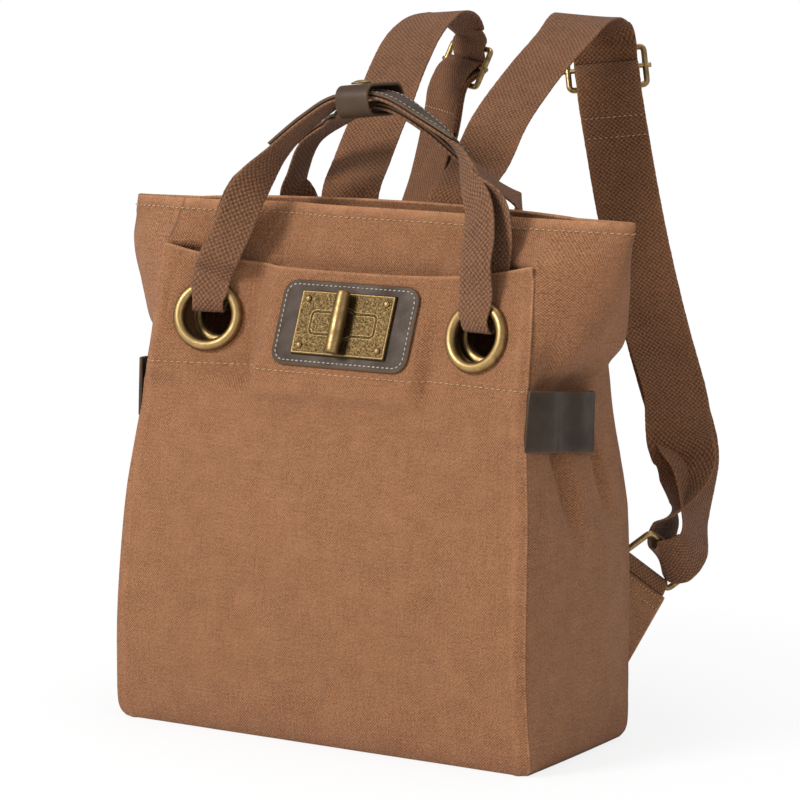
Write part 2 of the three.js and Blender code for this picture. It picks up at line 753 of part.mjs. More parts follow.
// Free front run of a shoulder strap, from the rim to the top of its arch: out is a share of half
// the bag's width, back a share of strapReach behind the back panel's middle and rise a share of
// strapRise above the rim
const strapFront = [
  { out: 0.262, back: -0.242, rise: 0.042, turn: 0, dip: 0 },
  { out: 0.287, back: -0.082, rise: 0.233, turn: 0, dip: 0 },
  { out: 0.297, back: 0.083, rise: 0.450, turn: 0, dip: 0 },
  { out: 0.340, back: 0.334, rise: 0.708, turn: 0, dip: 0 },
  { out: 0.372, back: 0.568, rise: 0.892, turn: 0, dip: 0.04 },
  { out: 0.362, back: 0.743, rise: 0.985, turn: 6, dip: 0.08 },
  { out: 0.350, back: 0.867, rise: 0.985, turn: 16, dip: 0.05 },
  { out: 0.345, back: 0.977, rise: 0.915, turn: 26, dip: 0 },
];

// Lower loop of a strap round its ring, outer layer first: places are shares of the strap's width
// from the middle of the ring's outer bar
const strapLoop = [
  { x: -0.14, y: 0.65, z: 1.56, turn: 44, dip: 0.05 },
  { x: 0.10, y: 0.46, z: 1.10, turn: 74, dip: 0.20 },
  { x: 0.19, y: 0.31, z: 0.52, turn: 90, dip: 0.50 },
  { x: 0.24, y: 0.16, z: 0.06, turn: 90, dip: 0.82 },
  { x: 0.11, y: 0.00, z: -0.13, turn: 93, dip: 1.15 },
  { x: -0.19, y: -0.045, z: -0.167, turn: 92.3, dip: 1.036 },
  { x: -0.25, y: 0.12, z: 0.277, turn: 100, dip: 0.85 },
  { x: -0.17, y: 0.18, z: 0.60, turn: 132, dip: 0.30 },
  { x: -0.06, y: 0.28, z: 0.94, turn: 160, dip: 0.12 },
  { x: -0.02, y: 0.38, z: 1.28, turn: 180, dip: 0 },
  { x: -0.16, y: 0.46, z: 1.62, turn: 203, dip: 0 },
];

const backPlane = halfDepth * sections[6].backMid;

function leaning(row) {
  return vector(Math.cos(row.turn * degree), Math.sin(row.turn * degree), -row.dip).normalize();
}

// Place and directions of the wire ring: bar runs along its inner bar from the upper end, outward
// leads away from the bag and upward stands square to both
function ringAxes() {
  const share = ringHeight / bagHeight;
  const x = halfWidth * tabPlace;
  const y = backWallY(x / (halfWidth * sectionAt(share).back), share) + wireDiameter + 2 * clearance;
  const outward = vector(Math.sin(tabTurn * degree), -Math.cos(tabTurn * degree), 0);
  const level = vector(Math.cos(tabTurn * degree), Math.sin(tabTurn * degree), 0);
  const bar = level.clone().multiplyScalar(Math.cos(ringSlope * degree))
    .addScaledVector(up, -Math.sin(ringSlope * degree));
  const upward = outward.clone().cross(bar);
  return { origin: vector(x, y, ringHeight), bar, outward, level, upward };
}

// Frame of the ring: x runs along its inner bar, y along its arms
function ringFrame() {
  const { origin, bar, outward, upward } = ringAxes();
  const arm = outward.multiplyScalar(Math.cos(ringSwing * degree))
    .addScaledVector(upward, Math.sin(ringSwing * degree));
  return new THREE.Matrix4().makeBasis(bar, arm, bar.clone().cross(arm)).setPosition(origin);
}

const ringSpan = strapWidth + wireDiameter + 2 * ringSlack;

// A closed wire through corner points
function wireLoop(corners, corner, diameter) {
  const count = corners.length;
  const ends = corners.map((point, i) => {
    const before = corners[(i + count - 1) % count];
    const after = corners[(i + 1) % count];
    const into = point.clone().addScaledVector(before.clone().sub(point).normalize(), corner);
    const out = point.clone().addScaledVector(after.clone().sub(point).normalize(), corner);
    return { into, point, out };
  });
  const points = [];
  for (let i = 0; i < count; i += 1) {
    const bend = new THREE.QuadraticBezierCurve3(ends[i].into, ends[i].point, ends[i].out);
    points.push(...bend.getPoints(4));
  }
  const normal = points[0].clone().sub(points[3]).cross(points[6].clone().sub(points[3])).normalize();
  const sides = 6;
  const rings = points.map((point, i) => {
    const before = points[(i + points.length - 1) % points.length];
    const after = points[(i + 1) % points.length];
    const along = after.clone().sub(before).normalize();
    const across = along.clone().cross(normal).normalize();
    const face = along.clone().cross(across);
    return Array.from({ length: sides }, (_, k) => {
      const angle = 2 * Math.PI * k / sides;
      return point.clone()
        .addScaledVector(across, diameter / 2 * Math.cos(angle))
        .addScaledVector(face, diameter / 2 * Math.sin(angle))
        .toArray();
    });
  });
  return skin(rings, true);
}

function ringGeometry() {
  const corners = [
    vector(0, 0, 0), vector(ringSpan, 0, 0), vector(ringSpan, ringArm, 0), vector(0, ringArm, 0)];
  return wireLoop(corners, ringCorner, wireDiameter);
}

// Frame of the slider: its origin is the middle of its centre bar, x runs along the bars, y up
// the strap and z towards the front
function sliderFrame(strap) {
  const origin = vector(
    halfWidth * strap.place, backPlane + strapReach, bagHeight + sliderRise * strapRise);
  const bars = vector(Math.cos(sliderTurn * degree), Math.sin(sliderTurn * degree), 0.1).normalize();
  const upwards = vector(-sliderLean, sliderLean, 1);
  upwards.addScaledVector(bars, -upwards.dot(bars)).normalize();
  return new THREE.Matrix4().makeBasis(bars, upwards, bars.clone().cross(upwards)).setPosition(origin);
}

function sliderGeometry() {
  const half = strapWidth / 2 + ringSlack + wireDiameter / 2;
  const tall = sliderHeight / 2;
  const frame = solidOf(wireLoop(
    [vector(-half, -tall, 0), vector(half, -tall, 0), vector(half, tall, 0), vector(-half, tall, 0)],
    ringCorner, wireDiameter));
  const barSpan = 2 * (half + wireDiameter / 2 + barEnd);
  const bar = new THREE.CylinderGeometry(barWire / 2, barWire / 2, barSpan, 10);
  bar.rotateZ(Math.PI / 2);
  return geometryOf(frame.add(solidOf(bar)));
}

// Rows through the slider: up is along the strap from the centre bar and front is square to it
function sliderRows(strap, places, side) {
  const frame = sliderFrame(strap);
  const across = vector(side, 0, 0).transformDirection(frame);
  return places.map(
    ([upwards, front]) => ({ at: inFrame(frame, 0, upwards, front), across: across.clone() }));
}

const layer = webbing + clearance;

// The doubled run between slider and ring at a share of its length, its outer layer's middle
function runRow(strap, share, lift, side) {
  const frame = sliderFrame(strap);
  const tall = sliderHeight / 2;
  const start = inFrame(frame, 0, -tall - runLead, wireDiameter / 2 + clearance + webbing / 2);
  const end = loopRow(strapLoop[0]).at;
  const middle = start.lerp(end, share);
  const bow = Math.sin(Math.PI * share);
  middle.add(vector(-strap.bow * bow, runBehind * bow, 0));
  const across = vector(1, 0, 0).transformDirection(frame);
  across.lerp(leaning(strapLoop[0]), share ** 2).normalize();
  const along = end.clone().sub(inFrame(frame, 0, 0, 0)).normalize();
  const face = along.cross(across).normalize();
  middle.addScaledVector(face, lift);
  return { at: middle, across: across.multiplyScalar(side) };
}

function loopRow(row) {
  const frame = ringFrame();
  const middle = inFrame(frame, ringSpan / 2, ringArm, 0);
  const at = middle.add(vector(row.x, row.y, row.z).multiplyScalar(strapWidth));
  return { at, across: leaning(row) };
}

function shoulderStrapGeometry(strap) {
  const tall = sliderHeight / 2;
  const over = wireDiameter / 2 + clearance + webbing / 2;
  const wrap = barWire / 2 + 2 * clearance + webbing / 2;
  const root = strapFront[0].out * halfWidth;
  const front = strapFront.map((row) => ({
    at: vector(row.out * halfWidth, backPlane + row.back * strapReach, bagHeight + row.rise * strapRise),
    across: leaning(row),
  }));
  const down = sliderRows(strap, [
    [tall + 5, over + 0.6], [tall, over + 0.3], [tall / 2, -0.4], [0, -wrap - layer - 0.2],
    [-tall / 2, -0.6], [-tall, over], [-tall - runLead, over],
  ], 1);
  const outer = [0.12, 0.3, 0.5, 0.7, 0.88].map((share) => runRow(strap, share, 0, 1));
  const loop = strapLoop.map(loopRow);
  const inner = [[0.88, 1.6], [0.7, 1.2], [0.5, 1.1], [0.32, 1.6], [0.16, 2], [0.06, 2]].map(
    ([share, layers]) => runRow(strap, share, layers * layer, -1));
  const back = sliderRows(strap, [
    [-tall - runLead, over + 2 * layer], [-tall, over + 2 * layer], [-tall / 2, over + 1.6 * layer],
    [0, wrap], [wrap * 0.7, wrap * 0.7], [wrap, 0], [wrap * 0.7, -wrap * 0.7], [0, -wrap],
    [-tall / 2, layer - 0.4], [-tall, over + layer], [-tall - runLead, over + layer],
  ], -1);
  const tail = [0.06, 0.14].map((share) => runRow(strap, share, layer, -1));
  return ribbon([...sewnRows(root, strapWidth, 1), ...front, ...down, ...outer, ...loop, ...inner,
    ...back, ...tail], strapWidth, webbing, { steps: 2 });
}

function tabWebbingGeometry() {
  const { origin, bar, outward, upward } = ringAxes();
  const away = wireDiameter / 2 + clearance + webbing / 2;
  const middle = origin.clone().addScaledVector(bar, ringSpan / 2);
  const rows = [];
  const place = (out, high) => rows.push({
    at: middle.clone().addScaledVector(outward, out).addScaledVector(upward, high),
    across: bar.clone(),
  });
  place(-away, -tabDrop);
  for (let i = 0; i <= 6; i += 1) {
    const angle = Math.PI * (1 - i / 6);
    place(away * Math.cos(angle), away * Math.sin(angle));
  }
  place(away, -tabDrop);
  return ribbon(rows, strapWidth - 1, webbing, { steps: 1 });
}

// Canvas triangle between the back panel and the webbing loop, standing square to the webbing
function tabGeometry() {
  const { origin, outward, level } = ringAxes();
  const slope = ringSlope * degree;
  const turn = tabTurn * degree;
  const wall = (clearance - wireDiameter + tabCanvas * Math.cos(turn) / 2) / Math.sin(turn);
  const top = (run) => new THREE.Vector2(
    run * Math.cos(slope) - (tabDrop + clearance) * Math.sin(slope),
    -run * Math.sin(slope) - (tabDrop + clearance) * Math.cos(slope));
  const corner = top(ringSpan - tabShort);
  const start = top((wall + (tabDrop + clearance) * Math.sin(slope)) / Math.cos(slope));
  const shape = new THREE.Shape([
    new THREE.Vector2(wall, tabFoot - ringHeight),
    new THREE.Vector2(wall + tabCanvas, tabFoot - ringHeight),
    corner,
    start,
  ]);
  const frame = new THREE.Matrix4().makeBasis(level, up, outward).setPosition(origin);
  return slab(shape, -tabCanvas / 2, tabCanvas / 2).applyMatrix4(frame);
}

// The same piece for the other side of the bag
function mirrored(geometry) {
  const copy = geometry.index ? geometry.clone() : mergeVertices(geometry.clone());
  copy.deleteAttribute('normal');
  copy.deleteAttribute('uv');
  copy.scale(-1, 1, 1);
  const order = Array.from(copy.index.array);
  for (let i = 0; i < order.length; i += 3) [order[i], order[i + 1]] = [order[i + 1], order[i]];
  copy.setIndex(order);
  return copy;
}

function bagBody() {
  let body = solidOf(bagGeometry());
  for (const place of bodySeats) {
    const hole = bodyGrommetInner / 2 + barrel + clearance;
    body = body.subtract(holeCutter(seatFrame(plainBagY, place), hole, holeDepth));
  }
  return mesh('bag_body', geometryOf(body), canvasFinish);
}

function frontPocket() {
  let panel = solidOf(pocketGeometry());
  for (const place of grommetSeats) {
    const hole = grommetInner / 2 + barrel + clearance;
    panel = panel.subtract(holeCutter(seatFrame(plainPocketY, place), hole, holeDepth));
  }
  return mesh('front_pocket', geometryOf(panel), canvasFinish);
}

function grommets() {
  return ['left', 'right'].flatMap((side, i) => [
    mesh(`pocket_grommet_${side}`, grommetGeometry(grommetOuter, grommetInner, grommetRoll),
      brassFinish, seatFrame(plainPocketY, grommetSeats[i])),
    mesh(`body_grommet_${side}`, grommetGeometry(bodyGrommetOuter, bodyGrommetInner, bodyGrommetRoll),
      brassFinish, seatFrame(plainBagY, bodySeats[i])),
  ]);
}

function turnLock() {
  const frame = seatFrame(plainPocketY, lockSeat);
  const patch = slab(roundedShape(patchWidth, patchHeight, patchCorner), patchBottom, patchTop);
  const pieces = [
    mesh('lock_patch', patch, leatherFinish, frame),
    mesh('lock_plate', plateGeometry(), brassFinish, frame),
    mesh('turn_bar', turnBarGeometry(), brassFinish, frame),
  ];
  const across = plateWidth / 2 - rivetInset;
  const high = plateHeight / 2 - rivetInset;
  [[-1, 1], [1, 1], [-1, -1], [1, -1]].forEach(([a, b], i) => {
    const rivet = dome(rivetDiameter, plateTop + clearance, rivetHeight, 8);
    rivet.translate(a * across, b * high, 0);
    pieces.push(mesh(`lock_rivet_${i + 1}`, rivet, brassFinish, frame));
  });
  return pieces;
}

function handles() {
  const snap = disc(snapDiameter / 2, 0, snapHeight / 2, 12);
  const cap = dome(snapCap, snapHeight / 2 - snapOverlap, snapHeight / 2, 12);
  const snapFrame = keeperFrame().multiply(
    new THREE.Matrix4().makeTranslation(0, -keeperDepth / 5, keeperHeight / 2 + clearance));
  return [
    mesh('handle_front', ribbon(frontHandleRows(), handleWebWidth, webbing), webbingFinish),
    mesh('handle_back', ribbon(backHandleRows(), handleWebWidth, webbing), webbingFinish),
    mesh('grip_front', gripGeometry(frontHandleRows(), frontGripRows), leatherFinish),
    mesh('grip_back', gripGeometry(backHandleRows(), backGripRows), leatherFinish),
    mesh('handle_keeper', keeperGeometry(), leatherFinish, keeperFrame()),
    mesh('keeper_snap', geometryOf(solidOf(snap).add(solidOf(cap))), brassFinish, snapFrame),
  ];
}

function sides() {
  const piecesOf = (strap) => ({
    side_band: [ribbon(bandRows(1), bandWidth, leather, { steps: 1 }), leatherFinish],
    shoulder_strap: [shoulderStrapGeometry(strap), webbingFinish],
    strap_slider: [sliderGeometry().applyMatrix4(sliderFrame(strap)), brassFinish],
    strap_ring: [ringGeometry().applyMatrix4(ringFrame()), brassFinish],
    tab_webbing: [tabWebbingGeometry(), webbingFinish],
    strap_tab: [tabGeometry(), canvasFinish],
  });
  return [
    ...Object.entries(piecesOf(leftStrap)).map(
      ([name, [geometry, finish]]) => mesh(`${name}_left`, mirrored(geometry), finish)),
    ...Object.entries(piecesOf(rightStrap)).map(
      ([name, [geometry, finish]]) => mesh(`${name}_right`, geometry, finish)),
  ];
}

const backpack = new THREE.Group();
backpack.name = 'canvas_backpack';
backpack.add(bagBody(), frontPocket(), ...grommets(), ...turnLock(), ...handles(), ...sides());

export default backpack;
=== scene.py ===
import bpy
import numpy as np
from math import cos, exp, hypot, pi, radians, sin, sqrt, tan
from mathutils import Matrix, Vector, noise


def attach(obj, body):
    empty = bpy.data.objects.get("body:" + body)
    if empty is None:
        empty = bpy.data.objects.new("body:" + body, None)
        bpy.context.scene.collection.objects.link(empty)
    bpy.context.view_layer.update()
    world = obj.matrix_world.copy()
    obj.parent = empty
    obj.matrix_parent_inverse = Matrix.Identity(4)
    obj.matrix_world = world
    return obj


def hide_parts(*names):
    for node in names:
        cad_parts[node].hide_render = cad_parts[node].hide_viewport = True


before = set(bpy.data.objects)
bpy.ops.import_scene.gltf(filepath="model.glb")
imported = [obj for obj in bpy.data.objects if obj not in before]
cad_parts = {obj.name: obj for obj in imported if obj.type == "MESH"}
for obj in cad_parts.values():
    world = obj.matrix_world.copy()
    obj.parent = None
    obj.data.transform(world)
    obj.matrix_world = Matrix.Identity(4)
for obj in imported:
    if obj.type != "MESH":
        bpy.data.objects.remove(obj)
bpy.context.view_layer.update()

# The camera: a long lens in front of the bag's right corner, a little above its middle. It looks
# almost level at a point just over the pocket.
CAMERA_TURN, CAMERA_PITCH, CAMERA_ROLL = radians(30.7), radians(7.93), radians(0.58)
CAMERA_TARGET = Vector((0.0187, 0.0, 0.2142))
CAMERA_AWAY = 2.161
back = Vector((sin(CAMERA_TURN) * cos(CAMERA_PITCH), -cos(CAMERA_TURN) * cos(CAMERA_PITCH), sin(CAMERA_PITCH)))
level = Vector((cos(CAMERA_TURN), sin(CAMERA_TURN), 0))
upright = back.cross(level)
right = level * cos(CAMERA_ROLL) + upright * sin(CAMERA_ROLL)
above = upright * cos(CAMERA_ROLL) - level * sin(CAMERA_ROLL)
camera = bpy.data.objects.new("camera", bpy.data.cameras.new("camera"))
camera.data.lens, camera.data.sensor_width = 153.0, 36.0
camera.data.clip_end = 20.0
camera.matrix_world = Matrix.Translation(CAMERA_TARGET + back * CAMERA_AWAY) @ Matrix(
    (right, above, back)).transposed().to_4x4()
bpy.context.scene.collection.objects.link(camera)
bpy.context.scene.camera = camera

# The studio: a white room that looks brighter than it lights, one broad soft light from the front
# left, weaker ones from the right and above, and a white floor that keeps only a faint shadow.
bpy.context.scene.view_settings.view_transform = "Standard"
room = bpy.data.worlds.new("room")
room.use_nodes = True
room_node, room_link = room.node_tree.nodes.new, room.node_tree.links.new
seen, lit = room.node_tree.nodes["Background"], room_node("ShaderNodeBackground")
seen.inputs["Color"].default_value, seen.inputs["Strength"].default_value = (1, 1, 1, 1), 1.0
lit.inputs["Color"].default_value, lit.inputs["Strength"].default_value = (1, 1, 1, 1), 0.5
rays, choice = room_node("ShaderNodeLightPath"), room_node("ShaderNodeMixShader")
room_link(rays.outputs["Is Camera Ray"], choice.inputs["Fac"])
room_link(lit.outputs[0], choice.inputs[1])
room_link(seen.outputs[0], choice.inputs[2])
room_link(choice.outputs[0], room.node_tree.nodes["World Output"].inputs["Surface"])
bpy.context.scene.world = room


def studio_light(name, place, aim, size, power):
    lamp = bpy.data.lights.new(name, "AREA")
    lamp.shape, lamp.size, lamp.energy = "DISK", size, power
    holder = bpy.data.objects.new(name, lamp)
    holder.location = place
    holder.rotation_euler = (Vector(aim) - Vector(place)).to_track_quat("-Z", "Y").to_euler()
    bpy.context.scene.collection.objects.link(holder)


studio_light("key_light", (-0.9, -2.0, 1.6), (0, 0, 0.2), 0.9, 56)
studio_light("fill_light", (1.9, -0.9, 0.9), (0, 0, 0.2), 1.4, 5)
studio_light("top_light", (0.2, 0.5, 2.4), (0, 0, 0.2), 1.2, 12)

floor_mesh = bpy.data.meshes.new("floor")
floor_mesh.from_pydata([(-6, -6, 0), (6, -6, 0), (6, 6, 0), (-6, 6, 0)], [], [(0, 1, 2, 3)])
floor = bpy.data.objects.new("floor", floor_mesh)
bpy.context.scene.collection.objects.link(floor)
paper = bpy.data.materials.new("paper")
paper.use_nodes = True
paper.node_tree.nodes["Principled BSDF"].inputs["Base Color"].default_value = (0.93, 0.93, 0.93, 1)
paper.node_tree.nodes["Principled BSDF"].inputs["Roughness"].default_value = 0.9
paper_node, paper_link = paper.node_tree.nodes.new, paper.node_tree.links.new
paper_places, paper_far = paper_node("ShaderNodeTexCoord"), paper_node("ShaderNodeVectorMath")
paper_far.operation = "LENGTH"
paper_link(paper_places.outputs["Object"], paper_far.inputs[0])
paper_fade, paper_rays = paper_node("ShaderNodeMapRange"), paper_node("ShaderNodeLightPath")
SHADOW_REACH, SHADOW_END, NEAR_GLOW = 0.18, 0.50, 0.82
paper_fade.inputs["From Min"].default_value, paper_fade.inputs["From Max"].default_value = SHADOW_REACH, SHADOW_END
paper_fade.inputs["To Min"].default_value, paper_fade.inputs["To Max"].default_value = NEAR_GLOW, 1.0
paper_link(paper_far.outputs["Value"], paper_fade.inputs["Value"])
paper_share = paper_node("ShaderNodeMath")
paper_share.operation = "MULTIPLY"
paper_link(paper_fade.outputs[0], paper_share.inputs[0])
paper_link(paper_rays.outputs["Is Camera Ray"], paper_share.inputs[1])
paper_glow, paper_mix = paper_node("ShaderNodeEmission"), paper_node("ShaderNodeMixShader")
paper_link(paper_share.outputs[0], paper_mix.inputs["Fac"])
paper_link(paper.node_tree.nodes["Principled BSDF"].outputs[0], paper_mix.inputs[1])
paper_link(paper_glow.outputs[0], paper_mix.inputs[2])
paper_link(paper_mix.outputs[0], paper.node_tree.nodes["Material Output"].inputs["Surface"])
floor_mesh.materials.append(paper)

# The bag: heavy waxed canvas, sewn from a front, a back, two side gussets and a flat base, with a
# turned and stitched hem round its mouth. It is lofted through sections from the base to the rim.
BAG_WIDTH, BAG_DEPTH, BAG_HEIGHT, MOUTH_WIDTH = 305.0, 131.0, 335.0, 367.0
HALF_WIDTH, HALF_DEPTH = BAG_WIDTH / 2, BAG_DEPTH / 2
CANVAS_WALL = 2.0
SECTION_COLUMNS = ("up", "seam", "side", "back", "front_edge", "front_mid", "back_edge", "back_mid", "stand")
SECTIONS = np.array([
    [0.000, 0.972, 0.812, 0.972, -0.940, -0.940, 0.940, 0.940, 0.00],
    [0.012, 0.990, 0.833, 0.990, -0.975, -0.990, 0.970, 0.975, 0.00],
    [0.032, 0.997, 0.845, 0.997, -1.005, -1.035, 0.990, 1.005, 0.00],
    [0.080, 0.993, 0.858, 0.997, -1.035, -1.085, 0.992, 1.020, 0.00],
    [0.200, 0.984, 0.868, 0.995, -1.064, -1.125, 0.992, 1.030, 0.00],
    [0.330, 0.975, 0.866, 0.990, -1.030, -1.095, 0.985, 1.025, 0.00],
    [0.450, 0.962, 0.852, 0.980, -0.972, -1.030, 0.965, 1.010, 0.00],
    [0.545, 0.940, 0.825, 0.955, -0.905, -0.925, 0.925, 0.970, 0.01],
    [0.600, 0.925, 0.800, 0.935, -0.865, -0.835, 0.890, 0.945, 0.03],
    [0.645, 0.917, 0.792, 0.925, -0.830, -0.750, 0.860, 0.920, 0.06],
    [0.700, 0.912, 0.800, 0.918, -0.790, -0.650, 0.820, 0.880, 0.10],
    [0.735, 0.906, 0.870, 0.918, -0.750, -0.535, 0.785, 0.840, 0.16],
    [0.770, 0.901, 0.938, 0.922, -0.715, -0.430, 0.735, 0.790, 0.21],
    [0.820, 0.893, 0.968, 0.928, -0.675, -0.350, 0.640, 0.700, 0.22],
    [0.870, 0.883, 0.981, 0.930, -0.632, -0.300, 0.530, 0.600, 0.18],
    [0.920, 0.876, 0.992, 0.928, -0.585, -0.285, 0.410, 0.485, 0.13],
    [0.960, 0.890, 0.997, 0.920, -0.360, -0.250, 0.270, 0.370, 0.13],
    [1.000, 0.915, 1.000, 0.915, -0.130, -0.215, 0.130, 0.260, 0.13]
])
GUSSET_FOLDS = (
    # from across, from up, to across, to up, width, depth
    (0.30, 0.58, 0.42, 0.36, 0.06, 0.15),
    (0.66, 0.58, 0.74, 0.40, 0.05, 0.12),
    (0.16, 0.70, 0.10, 0.84, 0.08, 0.09),
    (0.46, 0.68, 0.40, 0.90, 0.20, 0.13),
    (0.22, 0.66, 0.34, 0.80, 0.05, 0.07),
)


def smooth(t):
    t = min(1.0, max(0.0, t))
    return t * t * (3 - 2 * t)


def bell(t):
    return exp(-t * t)


def section_at(share):
    """The named values of the bag's section at a height share, on a smooth curve through the table."""
    up = SECTIONS[:, 0]
    i = min(len(up) - 2, max(0, int(np.searchsorted(up, share, side="right")) - 1))
    low, high = SECTIONS[i], SECTIONS[i + 1]
    span = high[0] - low[0]
    t = min(1.0, max(0.0, (share - low[0]) / span))
    before, after = SECTIONS[max(0, i - 1)], SECTIONS[min(len(up) - 1, i + 2)]
    slope_low = (high - before) / (high[0] - before[0]) * span
    slope_high = (after - low) / (after[0] - low[0]) * span
    row = (low * (2 * t**3 - 3 * t**2 + 1) + slope_low * (t**3 - 2 * t**2 + t)
           + high * (3 * t**2 - 2 * t**3) + slope_high * (t**3 - t**2))
    return dict(zip(SECTION_COLUMNS, row))


def front_wall_y(across, share):
    row = section_at(share)
    power = 2 + 3 * smooth((share - 0.5) / 0.25) * smooth((1 - share) / 0.05)
    pinch = 0.16 * bell((across + 0.46) / 0.20) * bell((1 - share) / 0.12)
    return HALF_DEPTH * (row["front_mid"] + (row["front_edge"] - row["front_mid"]) * abs(across) ** power + pinch)


def back_wall_y(across, share):
    row = section_at(share)
    return HALF_DEPTH * (row["back_mid"] + (row["back_edge"] - row["back_mid"]) * across**2)


def seam_x(share):
    return HALF_WIDTH * section_at(share)["seam"]


def fold_depth(across, share):
    depth = 0.0
    for from_across, from_up, to_across, to_up, width, deep in GUSSET_FOLDS:
        along = (share - from_up) / (to_up - from_up)
        if -0.2 <= along <= 1:
            middle = from_across + (to_across - from_across) * along
            fade = smooth((along + 0.2) / 0.2) * smooth((1 - along) / 0.7)
            depth += deep * HALF_DEPTH * fade * bell((across - middle) / width)
    return depth


def gusset_point(across, share):
    """x and y on the right gusset, across from 0 at the front seam to 1 at the back seam."""
    row = section_at(share)
    front = (HALF_WIDTH * row["seam"], front_wall_y(1, share))
    rear = (HALF_WIDTH * row["back"], back_wall_y(1, share))
    swell = (MOUTH_WIDTH / 2 * row["side"] - (front[0] + rear[0]) / 2) * sin(pi * across) ** 0.9
    return (front[0] + (rear[0] - front[0]) * across + swell - fold_depth(across, share),
            front[1] + (rear[1] - front[1]) * across)


def grid_normals(grid, around):
    """Outward unit normals of a grid of points: columns go anticlockwise round, rows go up."""
    if around:
        du = np.roll(grid, -1, axis=1) - np.roll(grid, 1, axis=1)
    else:
        du = np.gradient(grid, axis=1)
    dv = np.gradient(grid, axis=0)
    normals = np.cross(du, dv)
    return normals / np.maximum(np.linalg.norm(normals, axis=2, keepdims=True), 1e-9)


def cloth_waves(points, sizes):
    """A height for each point from layers of smooth noise, sizes being (wavelength, height) in mm."""
    flat = points.reshape(-1, 3)
    out = np.zeros(len(flat))
    for wavelength, height in sizes:
        out += [height * noise.noise(Vector(p) / wavelength) for p in flat]
    return out.reshape(points.shape[:-1])


def link_mesh(name, vertices, faces, uvs=None, wear=None):
    """A closed mesh object from points in mm, facing outwards, with one UV pair in mm for each point."""
    vertices = np.asarray(vertices, float)
    fans = [(f[0], f[i], f[i + 1]) for f in faces for i in range(1, len(f) - 1)]
    a, b, c = (vertices[[fan[k] for fan in fans]] for k in range(3))
    if np.einsum("ij,ij->", a, np.cross(b, c)) < 0:
        faces = [tuple(reversed(face)) for face in faces]
    mesh = bpy.data.meshes.new(name)
    mesh.from_pydata((vertices / 1000).tolist(), [], faces)
    if uvs is not None:
        layer = mesh.uv_layers.new(name="cloth")
        corner = np.empty(len(mesh.loops), dtype=np.int32)
        mesh.loops.foreach_get("vertex_index", corner)
        layer.data.foreach_set("uv", np.asarray(uvs, float)[corner].ravel())
    if wear is not None:
        mesh.attributes.new("wear", "FLOAT", "POINT").data.foreach_set("value", np.asarray(wear, float))
    mesh.shade_smooth()
    made = bpy.data.objects.new(name, mesh)
    bpy.context.scene.collection.objects.link(made)
    return made


def skin_faces(rows, columns, around, first=0, shut=False):
    """Quads of a grid whose rows follow each other, closed round its columns if around is set."""
    faces = []
    for r in range(rows if shut else rows - 1):
        here, following = first + r * columns, first + (r + 1) % rows * columns
        for i in range(columns if around else columns - 1):
            j = (i + 1) % columns
            faces.append((here + i, here + j, following + j, following + i))
    return faces


def woven_group():
    """Plain weave on UV in mm: crossing bumps with thicker threads here and there in both directions, and flecks that
    paint shade between the threads and highlight on their crossings.
    """
    group = bpy.data.node_groups.new("plain_weave", "ShaderNodeTree")
    for name, kind, start in (("Vector", "NodeSocketVector", None), ("Thread", "NodeSocketFloat", 1.3),
                              ("Slub", "NodeSocketFloat", 0.5)):
        socket = group.interface.new_socket(name, in_out="INPUT", socket_type=kind)
        if start is not None:
            socket.default_value = start
    for name in ("Height", "fleck_and_weave_shading"):
        group.interface.new_socket(name, in_out="OUTPUT", socket_type="NodeSocketFloat")
    node, link = group.nodes.new, group.links.new
    inputs, output = node("NodeGroupInput"), node("NodeGroupOutput")

    def maths(operation, a, b=None, c=None):
        made = node("ShaderNodeMath")
        made.operation = operation
        for i, value in enumerate((a, b, c)):
            if value is None:
                continue
            if isinstance(value, (int, float)):
                made.inputs[i].default_value = value
            else:
                link(value, made.inputs[i])
        return made.outputs[0]

    def noise_of(vector, scale, detail):
        made = node("ShaderNodeTexNoise")
        made.inputs["Scale"].default_value, made.inputs["Detail"].default_value = scale, detail
        link(vector, made.inputs["Vector"])
        return made.outputs["Fac"]

    def stretched(vector, factors):
        made = node("ShaderNodeVectorMath")
        made.operation = "MULTIPLY"
        made.inputs[1].default_value = factors
        link(vector, made.inputs[0])
        return made.outputs[0]

    wander = node("ShaderNodeVectorMath")
    wander.operation = "MULTIPLY_ADD"
    turbulence = node("ShaderNodeTexNoise")
    turbulence.inputs["Scale"].default_value = 0.22
    link(inputs.outputs["Vector"], turbulence.inputs["Vector"])
    wander.inputs[1].default_value = (0.9, 0.9, 0.0)
    link(turbulence.outputs["Color"], wander.inputs[0])
    link(inputs.outputs["Vector"], wander.inputs[2])
    place = wander.outputs[0]
    split = node("ShaderNodeSeparateXYZ")
    link(place, split.inputs[0])
    turn = maths("DIVIDE", 2 * pi, inputs.outputs["Thread"])
    warp = maths("SINE", maths("MULTIPLY", split.outputs["X"], turn))
    weft = maths("SINE", maths("MULTIPLY", split.outputs["Y"], turn))
    bumps = maths("POWER", maths("MULTIPLY_ADD", maths("MULTIPLY", warp, weft), 0.5, 0.5), 1.6)
    slub_warp = noise_of(stretched(place, (0.85, 0.05, 1.0)), 1.0, 2.0)
    slub_weft = noise_of(stretched(place, (0.05, 0.85, 1.0)), 1.0, 2.0)
    slubs = maths("SUBTRACT", maths("ADD", slub_warp, slub_weft), 1.0)
    grain = noise_of(stretched(place, (1.0, 1.0, 1.0)), 0.75, 3.0)
    link(maths("ADD", bumps, maths("MULTIPLY", slubs, inputs.outputs["Slub"])), output.inputs["Height"])
    fleck = maths("ADD", maths("MULTIPLY", maths("SUBTRACT", grain, 0.5), 4.5), maths("MULTIPLY", slubs, 1.0))
    # The fleck output also follows the weave's height: painted shade in the hollows between threads and painted
    # highlight on their crossings.
    link(maths("ADD", fleck, maths("MULTIPLY", maths("SUBTRACT", bumps, 0.4), 2.4)), output.inputs["fleck_and_weave_shading"])
    return group


plain_weave = woven_group()


